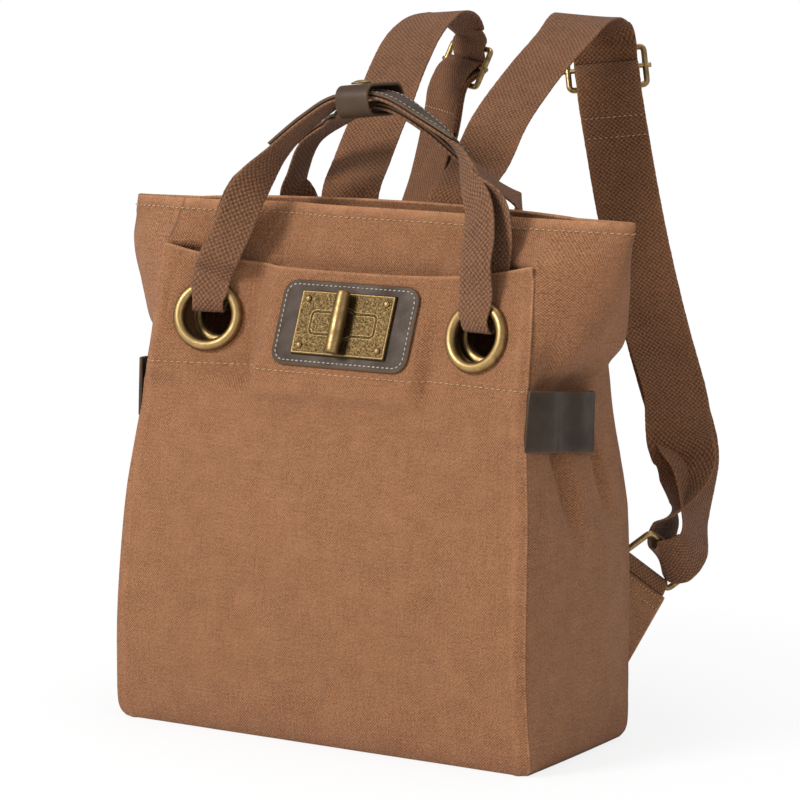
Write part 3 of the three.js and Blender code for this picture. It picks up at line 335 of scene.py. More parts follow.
def shader_nodes(name):
    """A new material with its node tree, its Principled BSDF and short ways to add and join nodes."""
    made = bpy.data.materials.new(name)
    made.use_nodes = True
    tree = made.node_tree
    return made, tree.nodes.new, tree.links.new, tree.nodes["Principled BSDF"]


def mixed(node, link, factor, first, second, blend="MIX"):
    """A colour mix; factor, first and second are sockets or plain values."""
    mix = node("ShaderNodeMix")
    mix.data_type, mix.blend_type = "RGBA", blend
    sockets = [s for s in mix.inputs if s.enabled]
    for socket, value in zip(sockets, (factor, first, second)):
        if isinstance(value, (int, float)):
            socket.default_value = value
        elif isinstance(value, tuple):
            socket.default_value = (*value, 1)
        else:
            link(value, socket)
    return next(s for s in mix.outputs if s.enabled)


def ranged(node, link, value, low, high, to_low=0.0, to_high=1.0):
    """value taken from low..high to to_low..to_high, held at both ends."""
    made = node("ShaderNodeMapRange")
    made.inputs["From Min"].default_value, made.inputs["From Max"].default_value = low, high
    made.inputs["To Min"].default_value, made.inputs["To Max"].default_value = to_low, to_high
    link(value, made.inputs["Value"])
    return made.outputs[0]


def cloth_material(name, dark, middle, light, thread=1.75, bump=0.7):
    """Woven cloth: mottled, flecked by its threads with painted shade and highlight of the weave, paler where edges
    and folds are rubbed.
    """
    made, node, link, shader = shader_nodes(name)
    uv = node("ShaderNodeUVMap")
    uv.uv_map = "cloth"
    weave = node("ShaderNodeGroup")
    weave.node_tree = plain_weave
    weave.inputs["Thread"].default_value = thread
    weave.inputs["Slub"].default_value = 0.5
    link(uv.outputs[0], weave.inputs["Vector"])
    places = node("ShaderNodeTexCoord")
    clouds = node("ShaderNodeTexNoise")
    clouds.inputs["Scale"].default_value, clouds.inputs["Detail"].default_value = 14.0, 5.0
    clouds.inputs["Roughness"].default_value = 0.6
    link(places.outputs["Object"], clouds.inputs["Vector"])
    scuffs = node("ShaderNodeTexNoise")
    scuffs.inputs["Scale"].default_value, scuffs.inputs["Detail"].default_value = 75.0, 6.0
    scuffs.inputs["Roughness"].default_value = 0.65
    link(places.outputs["Object"], scuffs.inputs["Vector"])
    tone = mixed(node, link, ranged(node, link, clouds.outputs["Fac"], 0.30, 0.70, 0.3, 1.0), dark, middle)
    tone = mixed(node, link, ranged(node, link, scuffs.outputs["Fac"], 0.45, 0.75, 0.0, 0.35), tone, light)
    # The flecks carry the threads' own specks plus painted shade in the weave's hollows and painted highlight on its
    # crossings; deep is their dark end.
    fleck = ranged(node, link, weave.outputs["fleck_and_weave_shading"], -1.3, 1.5)
    deep = mixed(node, link, 1.0, tone, (0.45, 0.42, 0.38), "MULTIPLY")
    tone = mixed(node, link, fleck, deep, mixed(node, link, 0.75, tone, light))
    worn = node("ShaderNodeAttribute")
    worn.attribute_name = "wear"
    rubbed = node("ShaderNodeMath")
    rubbed.operation = "MULTIPLY"
    link(worn.outputs["Fac"], rubbed.inputs[0])
    link(ranged(node, link, scuffs.outputs["Fac"], 0.35, 0.65, 0.35, 1.0), rubbed.inputs[1])
    tone = mixed(node, link, rubbed.outputs[0], tone, light)
    link(tone, shader.inputs["Base Color"])
    shader.inputs["Roughness"].default_value = 0.9
    shader.inputs["Specular IOR Level"].default_value = 0.25
    shader.inputs["Sheen Weight"].default_value = 0.05
    shader.inputs["Sheen Roughness"].default_value = 0.6
    relief = node("ShaderNodeBump")
    relief.inputs["Strength"].default_value, relief.inputs["Distance"].default_value = bump, 0.0006
    link(weave.outputs["Height"], relief.inputs["Height"])
    link(relief.outputs[0], shader.inputs["Normal"])
    return made


CANVAS_DARK, CANVAS_MIDDLE, CANVAS_LIGHT = (0.190, 0.070, 0.027), (0.280, 0.110, 0.045), (0.455, 0.215, 0.102)
canvas = cloth_material("waxed_canvas", CANVAS_DARK, CANVAS_MIDDLE, CANVAS_LIGHT)

FRONT_COUNT, GUSSET_COUNT, BACK_COUNT = 84, 60, 40


def spread(count, crowd):
    """Shares from 0 to 1 that crowd towards both ends."""
    even = np.linspace(0, 1, count + 1)
    return (1 - crowd) * even + crowd * (0.5 - 0.5 * np.cos(pi * even))


def bag_front_y(x, z):
    return flattened(plain_bag_y, body_seats, x, z)


def outline_at(share):
    """The bag's outline at a height share, anticlockwise from the front left seam, and its lengths."""
    points = []
    for across in -1 + 2 * spread(FRONT_COUNT, 0.5)[:-1]:
        x = seam_x(share) * across
        points.append((x, bag_front_y(x, share * BAG_HEIGHT)))
    right_side = [gusset_point(across, share) for across in spread(GUSSET_COUNT, 0.35)]
    points += right_side[:-1]
    back_x = HALF_WIDTH * section_at(share)["back"]
    points += [(back_x * across, back_wall_y(across, share)) for across in 1 - 2 * spread(BACK_COUNT, 0.5)[:-1]]
    points += [(-x, y) for x, y in right_side[:0:-1]]
    return np.array(points)


# Where cloth lies flat under a piece of hardware: turn is about the upright, lean is backwards.
GROMMET_SPACING, GROMMET_HEIGHT, GROMMET_OUTER, GROMMET_INNER = 197.945, 264.315, 46.0, 31.0
LEFT_TURN, RIGHT_TURN, GROMMET_LEAN, BODY_LEAN = 18.0, 8.0, 14.0, 12.0
LOCK_OFFSET, LOCK_HEIGHT, LOCK_LEAN = 4.6, 264.315, 22.0
PATCH_WIDTH, PATCH_HEIGHT = 99.5, 56.0
SEAT_MARGIN, SEAT_RISE, SEAT_FADE = 7.0, 11.0, 12.0


def seat(x, z, wide, tall, turn, lean):
    return {"x": x, "z": z, "wide": wide / 2 + SEAT_MARGIN, "tall": tall / 2 + SEAT_RISE,
            "slope_x": tan(radians(turn)), "slope_z": tan(radians(lean))}


grommet_seats = [seat(-GROMMET_SPACING / 2, GROMMET_HEIGHT, GROMMET_OUTER, GROMMET_OUTER, LEFT_TURN, GROMMET_LEAN),
                 seat(GROMMET_SPACING / 2, GROMMET_HEIGHT, GROMMET_OUTER, GROMMET_OUTER, -RIGHT_TURN, GROMMET_LEAN)]
body_seats = [seat(x, GROMMET_HEIGHT, GROMMET_OUTER, GROMMET_OUTER, 0, BODY_LEAN)
              for x in (-GROMMET_SPACING / 2, GROMMET_SPACING / 2)]
lock_seat = seat(LOCK_OFFSET, LOCK_HEIGHT, PATCH_WIDTH, PATCH_HEIGHT, 0, LOCK_LEAN)


def plain_bag_y(x, z):
    return front_wall_y(min(1, max(-1, x / seam_x(z / BAG_HEIGHT))), z / BAG_HEIGHT)


def plain_pocket_y(x, z):
    share = z / BAG_HEIGHT
    across = min(1, max(-1, x / seam_x(share)))
    stand = section_at(share)["stand"] * HALF_DEPTH * (1 - across**4)
    return front_wall_y(across, share) - 1.0 - CANVAS_WALL - stand


def flattened(plain, seats, x, z):
    y = plain(x, z)
    for place in seats:
        away = hypot(max(0, abs(x - place["x"]) - place["wide"]), max(0, abs(z - place["z"]) - place["tall"]))
        if away < SEAT_FADE:
            if "y" not in place:
                place["y"] = plain(place["x"], place["z"])
            flat = place["y"] + (x - place["x"]) * place["slope_x"] + (z - place["z"]) * place["slope_z"]
            y += (flat - y) * (1 - smooth(away / SEAT_FADE))
    return y


heights = np.unique(np.concatenate([
    np.linspace(0, 0.05, 9), np.linspace(0.05, 0.5, 40), np.linspace(0.5, 0.8, 44), np.linspace(0.8, 1.0, 34)]))
outer = np.array([[(x, y, share * BAG_HEIGHT) for x, y in outline_at(share)] for share in heights])
column_share = np.zeros(outer.shape[1])
back_first = FRONT_COUNT + GUSSET_COUNT
column_share[:FRONT_COUNT + 1] = 0.004 * np.cos(pi / 2 * (-1 + 2 * spread(FRONT_COUNT, 0.5)))
column_share[back_first:back_first + BACK_COUNT] = 0.012 * np.sin(pi * np.arange(BACK_COUNT) / BACK_COUNT)
rise = np.clip((heights - 0.93) / 0.07, 0, 1)[:, None] * column_share[None, :] * BAG_HEIGHT
outer[:, :, 2] += rise
normals = grid_normals(outer, True)
loose = np.clip(heights / 0.06, 0, 1) * np.clip((1 - heights) / 0.05, 0.25, 1)
WAVE_SIZES = ((55.0, 1.3), (21.0, 0.55), (9.0, 0.16))
HEM_STEP = 0.45
waves = cloth_waves(outer, WAVE_SIZES) * loose[:, None]
hem = HEM_STEP * (1 - np.clip((0.970 - heights) / 0.006, 0, 1))
outer += normals * (waves + hem[:, None])[:, :, None]
outer[0, :, 2] = 0.0
along = np.concatenate([[0], np.cumsum(np.linalg.norm(np.diff(outer[60], axis=0), axis=1))])
bag_uv = np.stack(np.broadcast_arrays(along[None, :], outer[:, :, 2]), axis=2)
ROLL_RISE, INSIDE_FLOOR = 0.9, 2.4
inner = outer - normals * CANVAS_WALL * 1.15
roll = (outer[-1] + inner[-1]) / 2 + np.array([0, 0, ROLL_RISE])
inner_rows = inner[::-3]
lowest = inner_rows[-1].copy()
lowest[:, 2] = INSIDE_FLOOR
rim_outside, rim_inside = (0.8 * edge[-1] + 0.2 * roll + [0, 0, ROLL_RISE / 2] for edge in (outer, inner))
rows = [*outer, rim_outside, roll, rim_inside, *inner_rows[:-1], lowest]
row_uv = [*bag_uv, bag_uv[-1], bag_uv[-1], bag_uv[-1], *bag_uv[::-3][:-1], bag_uv[0]]
wear = [*(0.10 + 0.75 * np.clip((heights[:, None] - 0.985) / 0.015, 0, 1) * np.ones(outer.shape[1])),
        *([np.full(outer.shape[1], 0.8)] * 3), *([np.zeros(outer.shape[1])] * len(inner_rows))]
columns = outer.shape[1]
vertices = np.concatenate(rows)
faces = skin_faces(len(rows), columns, True)
base_middle = [0, 0, 0.0]
floor_middle = [0, 0, INSIDE_FLOOR]
count = len(vertices)
vertices = np.concatenate([vertices, [base_middle, floor_middle]])
faces += [((i + 1) % columns, i, count) for i in range(columns)]
last = count - columns
faces += [(last + i, last + (i + 1) % columns, count + 1) for i in range(columns)]
bag_uvs = np.concatenate([np.concatenate(row_uv), [[0, 0], [0, 0]]])
bag_wear = np.concatenate([np.concatenate(wear), [0, 0]])
bag = link_mesh("bag_shell", vertices, faces, bag_uvs, bag_wear)

# The body's grommets sit in real holes behind the pocket's, so the shell is cut there.
BODY_GROMMET_OUTER, BODY_GROMMET_INNER, BARREL, GAP = 40.0, 27.0, 1.0, 0.3


def seat_frame(plain, place):
    """Origin and axes of a seat: x to the viewer's right, y upwards and z out of the bag."""
    out = Vector((place["slope_x"], -1, place["slope_z"])).normalized()
    x = Vector((0, 0, 1)).cross(out).normalized()
    return np.array((place["x"], plain(place["x"], place["z"]), place["z"])), np.array((x, out.cross(x), out))


def placed(frame_here, points):
    origin, axes = frame_here
    return origin + np.asarray(points, float) @ axes


def lathe(profile, segments=96):
    """Vertices and faces of a closed profile of (radius, height) turned round the z axis."""
    angles = 2 * pi * np.arange(segments) / segments
    rings = [np.stack([r * np.cos(angles), r * np.sin(angles), np.full(segments, z)], axis=1) for r, z in profile]
    return np.concatenate(rings), skin_faces(len(profile), segments, True, shut=True)


def applied(piece, modifier):
    """Turn a piece with a modifier into a plain mesh."""
    mesh = bpy.data.meshes.new_from_object(piece.evaluated_get(bpy.context.evaluated_depsgraph_get()))
    piece.modifiers.remove(modifier)
    piece.data = mesh


for place in body_seats:
    hole, hole_faces = lathe([(0.01, -9), (BODY_GROMMET_INNER / 2 + BARREL + GAP, -9),
                              (BODY_GROMMET_INNER / 2 + BARREL + GAP, 9), (0.01, 9)], 48)
    punch = link_mesh("punch", placed(seat_frame(plain_bag_y, place), hole), hole_faces)
    cut = bag.modifiers.new("hole", "BOOLEAN")
    cut.operation, cut.solver, cut.object = "DIFFERENCE", "EXACT", punch
    applied(bag, cut)
    bpy.data.objects.remove(punch)
bag.data.materials.clear()
bag.data.materials.append(canvas)
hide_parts("bag_body")
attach(bag, "bag")

# The rim's seam: one row of tan cotton thread six millimetres under the turned edge, through both
# layers of the hem, so it shows outside and inside.
THREAD_TAN, THREAD_PALE = (0.56, 0.36, 0.19), (0.50, 0.44, 0.36)
STITCH_STAND = 0.5


def thread_material(name, colour):
    made, node, link, shader = shader_nodes(name)
    places = node("ShaderNodeTexCoord")
    twist = node("ShaderNodeTexNoise")
    twist.inputs["Scale"].default_value, twist.inputs["Detail"].default_value = 900.0, 3.0
    link(places.outputs["Object"], twist.inputs["Vector"])
    darker = tuple(0.55 * value for value in colour)
    link(mixed(node, link, ranged(node, link, twist.outputs["Fac"], 0.3, 0.7), darker, colour),
         shader.inputs["Base Color"])
    shader.inputs["Roughness"].default_value = 0.8
    return made


def stitch_group():
    """Stitches along the edges of a mesh whose points carry the way they face."""
    group = bpy.data.node_groups.new("stitch_row", "GeometryNodeTree")
    group.is_modifier = True
    group.interface.new_socket("Seams", in_out="INPUT", socket_type="NodeSocketGeometry")
    for name in ("Pitch", "Length", "Width", "Slant"):
        group.interface.new_socket(name, in_out="INPUT", socket_type="NodeSocketFloat")
    group.interface.new_socket("Thread", in_out="INPUT", socket_type="NodeSocketMaterial")
    group.interface.new_socket("Stitches", in_out="OUTPUT", socket_type="NodeSocketGeometry")
    node, link = group.nodes.new, group.links.new
    inputs, output = node("NodeGroupInput"), node("NodeGroupOutput")
    curve = node("GeometryNodeMeshToCurve")
    link(inputs.outputs["Seams"], curve.inputs["Mesh"])
    spaced = node("GeometryNodeResampleCurve")
    spaced.mode = "LENGTH"
    link(curve.outputs["Curve"], spaced.inputs["Curve"])
    link(inputs.outputs["Pitch"], spaced.inputs["Length"])
    ball = node("GeometryNodeMeshUVSphere")
    ball.inputs["Segments"].default_value, ball.inputs["Rings"].default_value = 6, 4
    ball.inputs["Radius"].default_value = 0.5
    size = node("ShaderNodeCombineXYZ")
    for target, source in (("X", "Length"), ("Y", "Width"), ("Z", "Width")):
        link(inputs.outputs[source], size.inputs[target])
    tangent = node("GeometryNodeInputTangent")
    facing = node("GeometryNodeInputNamedAttribute")
    facing.data_type = "FLOAT_VECTOR"
    facing.inputs["Name"].default_value = "facing"
    side = node("ShaderNodeVectorMath")
    side.operation = "CROSS_PRODUCT"
    link(facing.outputs["Attribute"], side.inputs[0])
    link(tangent.outputs[0], side.inputs[1])
    leaned = node("ShaderNodeVectorMath")
    leaned.operation = "SCALE"
    link(side.outputs[0], leaned.inputs[0])
    link(inputs.outputs["Slant"], leaned.inputs["Scale"])
    way = node("ShaderNodeVectorMath")
    link(tangent.outputs[0], way.inputs[0])
    link(leaned.outputs[0], way.inputs[1])
    lengthwise = node("FunctionNodeAlignRotationToVector")
    lengthwise.axis = "X"
    link(way.outputs[0], lengthwise.inputs["Vector"])
    upwards = node("FunctionNodeAlignRotationToVector")
    upwards.axis, upwards.pivot_axis = "Z", "X"
    link(lengthwise.outputs[0], upwards.inputs["Rotation"])
    link(facing.outputs["Attribute"], upwards.inputs["Vector"])
    place = node("GeometryNodeInstanceOnPoints")
    link(spaced.outputs["Curve"], place.inputs["Points"])
    link(ball.outputs["Mesh"], place.inputs["Instance"])
    link(upwards.outputs[0], place.inputs["Rotation"])
    link(size.outputs[0], place.inputs["Scale"])
    real = node("GeometryNodeRealizeInstances")
    link(place.outputs[0], real.inputs[0])
    finish = node("GeometryNodeSetMaterial")
    link(real.outputs[0], finish.inputs["Geometry"])
    link(inputs.outputs["Thread"], finish.inputs["Material"])
    link(finish.outputs[0], output.inputs[0])
    return group


stitch_row = stitch_group()


def sew(name, seams, thread, pitch=4.4, length=3.6, width=0.75, slant=0.12):
    """Stitches along seams, each a list of points and of the ways they face, in mm."""
    vertices, edges, ways = [], [], []
    for points, facing in seams:
        edges += [(len(vertices) + i, len(vertices) + i + 1) for i in range(len(points) - 1)]
        vertices += list(points)
        ways += list(facing)
    mesh = bpy.data.meshes.new(name)
    mesh.from_pydata((np.array(vertices) / 1000).tolist(), edges, [])
    mesh.attributes.new("facing", "FLOAT_VECTOR", "POINT").data.foreach_set("vector", np.array(ways, float).ravel())
    row = bpy.data.objects.new(name, mesh)
    bpy.context.scene.collection.objects.link(row)
    modifier = row.modifiers.new("stitches", "NODES")
    modifier.node_group = stitch_row
    values = {"Pitch": pitch / 1000, "Length": length / 1000, "Width": width / 1000, "Slant": slant, "Thread": thread}
    for item in stitch_row.interface.items_tree:
        if item.in_out == "INPUT" and item.name in values:
            modifier[item.identifier] = values[item.name]
    applied(row, modifier)
    row.data.shade_smooth()
    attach(row, "bag")
    return row


thread_tan = thread_material("tan_thread", THREAD_TAN)
thread_pale = thread_material("pale_thread", THREAD_PALE)
hem_row = int(np.argmin(np.abs(heights - 0.981)))
outside = (outer[hem_row] + STITCH_STAND * normals[hem_row], normals[hem_row])
inside = (inner[hem_row] - STITCH_STAND * normals[hem_row], -normals[hem_row])
sew("rim_stitches", [[np.vstack([part, part[:1]]) for part in side] for side in (outside, inside)],
    thread_tan)

# The front pocket: a second canvas panel over the whole front, sewn into the side seams and the
# base. Its top edge is a turned hem that dips in the middle, and a row of stitches crosses it low.
POCKET_CORNER, POCKET_DIP, POCKET_FOOT = 308.87, 12.5, 0.6
POCKET_STITCHES = 234.8


def pocket_y(x, z):
    return flattened(plain_pocket_y, [lock_seat, *grommet_seats], x, z)


def pocket_top(across):
    return POCKET_CORNER - POCKET_DIP * (1 - abs(across) ** 3)


def thick_sheet(name, grid, out, wall, uv_grid, wear_grid, holes=()):
    """A sheet between a grid and the same grid wall further back, with rounded edges and round holes."""
    rows_here, columns_here = grid.shape[:2]
    front, back_side = grid.reshape(-1, 3), (grid - out * wall).reshape(-1, 3)
    faces_here = []
    for r in range(rows_here - 1):
        for c in range(columns_here - 1):
            face = (r * columns_here + c, r * columns_here + c + 1, (r + 1) * columns_here + c + 1,
                    (r + 1) * columns_here + c)
            middle = front[list(face)].mean(axis=0)
            if not any(hypot(middle[0] - x, middle[2] - z) < radius for x, z, radius in holes):
                faces_here.append(face)
    once = {}
    for face in faces_here:
        for i in range(4):
            edge = (face[i], face[(i + 1) % 4])
            if (edge[1], edge[0]) in once:
                del once[(edge[1], edge[0])]
            else:
                once[edge] = True
    outwards = {}
    flat_out = out.reshape(-1, 3)
    for a, b in once:
        push = np.cross(front[b] - front[a], flat_out[a])
        push /= max(1e-9, np.linalg.norm(push))
        for vertex in (a, b):
            outwards[vertex] = outwards.get(vertex, 0) + push
    count = len(front)
    edge_index, edge_points, edge_from = {}, [], []
    for vertex, push in outwards.items():
        push = push / max(1e-9, np.linalg.norm(push))
        edge_index[vertex] = 2 * count + 3 * len(edge_from)
        middle = front[vertex] - flat_out[vertex] * wall / 2
        for angle in (-0.9, 0.0, 0.9):
            edge_points.append(middle + (push * cos(angle) * 0.5 - flat_out[vertex] * sin(angle) * 0.5) * wall)
        edge_from.append(vertex)
    faces_all = list(faces_here)
    faces_all += [tuple(count + v for v in reversed(face)) for face in faces_here]
    for a, b in once:
        ring_a = (a, edge_index[a], edge_index[a] + 1, edge_index[a] + 2, count + a)
        ring_b = (b, edge_index[b], edge_index[b] + 1, edge_index[b] + 2, count + b)
        faces_all += [(ring_b[i], ring_a[i], ring_a[i + 1], ring_b[i + 1]) for i in range(4)]
    flat_uv, flat_wear = uv_grid.reshape(-1, 2), wear_grid.ravel()
    vertices_all = np.concatenate([front, back_side, edge_points])
    uvs_all = np.concatenate([flat_uv, flat_uv, np.repeat(flat_uv[edge_from], 3, axis=0)])
    wear_all = np.concatenate([flat_wear, flat_wear, np.full(3 * len(edge_from), 0.8)])
    used = np.zeros(len(vertices_all), bool)
    for face in faces_all:
        used[list(face)] = True
    fresh = np.cumsum(used) - 1
    return link_mesh(name, vertices_all[used], [tuple(int(fresh[v]) for v in face) for face in faces_all],
                     uvs_all[used], wear_all[used])


pocket_across = -1 + 2 * spread(110, 0.35)
pocket_rise = np.unique(np.concatenate([np.linspace(0, 0.97, 140), np.linspace(0.97, 1, 12)]))
pocket_grid = np.zeros((len(pocket_rise), len(pocket_across), 3))
for r, t in enumerate(pocket_rise):
    for c, across in enumerate(pocket_across):
        z = POCKET_FOOT + t * (pocket_top(across) - POCKET_FOOT)
        x = seam_x(z / BAG_HEIGHT) * across
        pocket_grid[r, c] = (x, pocket_y(x, z), z)
pocket_out = grid_normals(pocket_grid, False)
calm = np.ones(pocket_grid.shape[:2])
for place in (lock_seat, *grommet_seats):
    off = np.hypot(np.maximum(0, np.abs(pocket_grid[:, :, 0] - place["x"]) - place["wide"] + 3),
                   np.maximum(0, np.abs(pocket_grid[:, :, 2] - place["z"]) - place["tall"] + 3))
    calm *= np.clip(off / 14, 0, 1)
edge_calm = np.clip((1 - np.abs(pocket_across)) / 0.03, 0.0, 1)[None, :]
foot_calm = np.clip(pocket_rise / 0.04, 0.1, 1)[:, None]
pocket_waves = cloth_waves(pocket_grid, WAVE_SIZES) * calm * edge_calm * foot_calm
below_top = (1 - pocket_rise)[:, None] * 300
pocket_hem = 0.4 * np.clip((7.5 - below_top) / 1.5, 0, 1)
seam_ridge = 0.7 * np.exp(-((1 - np.abs(pocket_across)) * HALF_WIDTH - 6.5) ** 2 / 3.0)[None, :]
seam_ridge = seam_ridge * np.clip(below_top / 20, 0, 1)
low_row = 0.5 * np.exp(-((pocket_grid[:, :, 2] - POCKET_STITCHES) / 1.2) ** 2)
tuck = 0.8 * np.clip((np.abs(pocket_across) - 0.975) / 0.025, 0, 1)[None, :]
pocket_grid += pocket_out * (pocket_waves + pocket_hem + seam_ridge - low_row - tuck)[:, :, None]
pocket_uv = np.stack([pocket_grid[:, :, 0], pocket_grid[:, :, 2]], axis=2)
pocket_wear = np.clip(0.12 + 0.7 * np.clip((1.6 - below_top) / 1.6, 0, 1) + 0.25 * seam_ridge, 0, 1)
POCKET_HOLE = GROMMET_INNER / 2 + BARREL + GAP + 1.0
pocket = thick_sheet("pocket_panel", pocket_grid, pocket_out, CANVAS_WALL, pocket_uv, pocket_wear,
                     [(place["x"], place["z"], POCKET_HOLE) for place in grommet_seats])
pocket.data.materials.append(canvas)
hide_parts("front_pocket")
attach(pocket, "bag")


def pocket_seam(lines):
    """Seam points on the pocket's face from lists of (x, z)."""
    seams = []
    flat_grid, flat_ways = pocket_grid.reshape(-1, 3), pocket_out.reshape(-1, 3)
    for line in lines:
        nearest = [int(np.argmin((flat_grid[:, 0] - x) ** 2 + (flat_grid[:, 2] - z) ** 2)) for x, z in line]
        points = [(x, flat_grid[i][1] - STITCH_STAND, z) for i, (x, z) in zip(nearest, line)]
        seams.append((points, flat_ways[nearest]))
    return seams


shares_across = np.linspace(-0.985, 0.985, 130)
low_line = [(seam_x(POCKET_STITCHES / BAG_HEIGHT) * a, POCKET_STITCHES) for a in shares_across]
sew("pocket_stitches", pocket_seam([low_line]), thread_tan)

# The grommets: rolled brass rings set through the pocket, with plainer ones through the bag behind
# them. Each has a washer at the back of the cloth, and the handle's webbing runs through both.
GROMMET_ROLL, BODY_GROMMET_ROLL, WASHER = 5.0, 2.2, 1.0
BRASS_DARK, BRASS_MIDDLE, BRASS_LIGHT = (0.060, 0.034, 0.014), (0.270, 0.165, 0.066), (0.520, 0.350, 0.150)


def brass_material(name, dark, middle, light, rough=0.34, blotch=180.0):
    """Antique brass: brown in the hollows, brighter where it is rubbed, with fine scratches."""
    made, node, link, shader = shader_nodes(name)
    places = node("ShaderNodeTexCoord")
    patina = node("ShaderNodeTexNoise")
    patina.inputs["Scale"].default_value, patina.inputs["Detail"].default_value = blotch, 6.0
    patina.inputs["Roughness"].default_value = 0.62
    link(places.outputs["Object"], patina.inputs["Vector"])
    fine = node("ShaderNodeTexNoise")
    fine.inputs["Scale"].default_value, fine.inputs["Detail"].default_value = 1500.0, 3.0
    link(places.outputs["Object"], fine.inputs["Vector"])
    tone = mixed(node, link, ranged(node, link, patina.outputs["Fac"], 0.36, 0.62), dark, middle)
    worn = node("ShaderNodeAttribute")
    worn.attribute_name = "wear"
    tone = mixed(node, link, worn.outputs["Fac"], tone, light)
    link(tone, shader.inputs["Base Color"])
    shader.inputs["Metallic"].default_value = 1.0
    link(ranged(node, link, patina.outputs["Fac"], 0.3, 0.7, rough + 0.22, rough), shader.inputs["Roughness"])
    relief = node("ShaderNodeBump")
    relief.inputs["Strength"].default_value, relief.inputs["Distance"].default_value = 0.25, 0.0002
    link(fine.outputs["Fac"], relief.inputs["Height"])
    link(relief.outputs[0], shader.inputs["Normal"])
    return made


brass = brass_material("antique_brass", BRASS_DARK, BRASS_MIDDLE, BRASS_LIGHT)


def fixed(piece, material, node_name, body="bag"):
    """Give a finished piece its material and let it stand for its node."""
    piece.data.materials.append(material)
    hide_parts(node_name)
    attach(piece, body)
    return piece


def grommet_ring(name, outer_size, inner_size, roll, frame_here):
    middle, half = (outer_size + inner_size) / 4, (outer_size - inner_size) / 4
    behind = -CANVAS_WALL - GAP
    profile = [(middle + half * cos(a), GAP + roll * sin(a) ** 0.85) for a in np.linspace(0, pi, 17)]
    profile += [(inner_size / 2, behind - WASHER), (middle, behind - WASHER), (middle, behind),
                (inner_size / 2 + BARREL, behind), (inner_size / 2 + BARREL, GAP), (outer_size / 2, GAP)]
    points, ring_faces = lathe(profile)
    worn = np.repeat([0.15 + 0.5 * max(0, (z - GAP) / roll) ** 3 for _, z in profile], 96)
    return link_mesh(name, placed(frame_here, points), ring_faces, wear=worn)


for side, pocket_place, body_place in zip(("left", "right"), grommet_seats, body_seats):
    fixed(grommet_ring(f"pocket_ring_{side}", GROMMET_OUTER, GROMMET_INNER, GROMMET_ROLL,
                       seat_frame(plain_pocket_y, pocket_place)), brass, f"pocket_grommet_{side}")
    fixed(grommet_ring(f"body_ring_{side}", BODY_GROMMET_OUTER, BODY_GROMMET_INNER, BODY_GROMMET_ROLL,
                       seat_frame(plain_bag_y, body_place)), brass, f"body_grommet_{side}")

# The turn lock: a brass plate riveted on a leather patch that is sewn to the pocket. The plate has
# a raised bead at its edge and an engraved slot with a ring round the bar's foot.
PATCH_THICKNESS, PATCH_CORNER, PLATE_WIDTH, PLATE_HEIGHT, PLATE_THICKNESS = 2.0, 10.0, 68.4, 41.5, 2.0
SLOT_WIDTH, SLOT_HEIGHT, SLOT_CORNER, SLOT_CIRCLE = 47.0, 14.5, 3.0, 20.0
RIVET_DIAMETER, RIVET_HEIGHT, RIVET_INSET = 4.6, 1.6, 5.6
BAR_DIAMETER, BAR_LENGTH, BAR_PIN, BAR_LIFT = 9.6, 41.0, 6.0, 1.5
LEATHER_DARK, LEATHER_MIDDLE, LEATHER_EDGE = (0.030, 0.015, 0.006), (0.049, 0.026, 0.011), (0.110, 0.058, 0.026)


def leather_material(name, dark, middle, edge, rough=0.52):
    """Oiled leather: fine pebbled grain, soft mottling and paler rubbed edges."""
    made, node, link, shader = shader_nodes(name)
    places = node("ShaderNodeTexCoord")
    pebbles = node("ShaderNodeTexVoronoi")
    pebbles.feature = "DISTANCE_TO_EDGE"
    pebbles.inputs["Scale"].default_value = 900.0
    link(places.outputs["Object"], pebbles.inputs["Vector"])
    clouds = node("ShaderNodeTexNoise")
    clouds.inputs["Scale"].default_value, clouds.inputs["Detail"].default_value = 70.0, 5.0
    link(places.outputs["Object"], clouds.inputs["Vector"])
    fine = node("ShaderNodeTexNoise")
    fine.inputs["Scale"].default_value, fine.inputs["Detail"].default_value = 700.0, 4.0
    link(places.outputs["Object"], fine.inputs["Vector"])
    tone = mixed(node, link, ranged(node, link, clouds.outputs["Fac"], 0.32, 0.68), dark, middle)
    tone = mixed(node, link, ranged(node, link, fine.outputs["Fac"], 0.5, 0.75, 0.0, 0.16), tone, edge)
    worn = node("ShaderNodeAttribute")
    worn.attribute_name = "wear"
    tone = mixed(node, link, worn.outputs["Fac"], tone, edge)
    link(tone, shader.inputs["Base Color"])
    link(ranged(node, link, clouds.outputs["Fac"], 0.3, 0.7, rough + 0.12, rough - 0.05), shader.inputs["Roughness"])
    shader.inputs["Specular IOR Level"].default_value = 0.32
    relief = node("ShaderNodeBump")
    relief.inputs["Strength"].default_value, relief.inputs["Distance"].default_value = 0.35, 0.0003
    link(pebbles.outputs["Distance"], relief.inputs["Height"])
    link(relief.outputs[0], shader.inputs["Normal"])
    return made


leather = leather_material("oiled_leather", LEATHER_DARK, LEATHER_MIDDLE, LEATHER_EDGE)


def rounded_outline(width, height, corner, arc=8):
    points = []
    for quarter, (sx, sy) in enumerate(((1, 1), (-1, 1), (-1, -1), (1, -1))):
        middle = (sx * (width / 2 - corner), sy * (height / 2 - corner))
        for a in np.linspace(quarter * pi / 2, (quarter + 1) * pi / 2, arc + 1):
            points.append((middle[0] + corner * cos(a), middle[1] + corner * sin(a)))
    return points


def stacked(name, levels, frame_here, wear=None):
    """A closed solid through levels of (outline, height) from its underside to its top."""
    rings = [np.array([(x, y, z) for x, y in outline]) for outline, z in levels]
    size = len(rings[0])
    stack_faces = skin_faces(len(rings), size, True)
    stack_faces += [tuple(reversed(range(size))), tuple(range((len(rings) - 1) * size, len(rings) * size))]
    return link_mesh(name, placed(frame_here, np.concatenate(rings)), stack_faces,
                     wear=None if wear is None else np.repeat(wear, size))


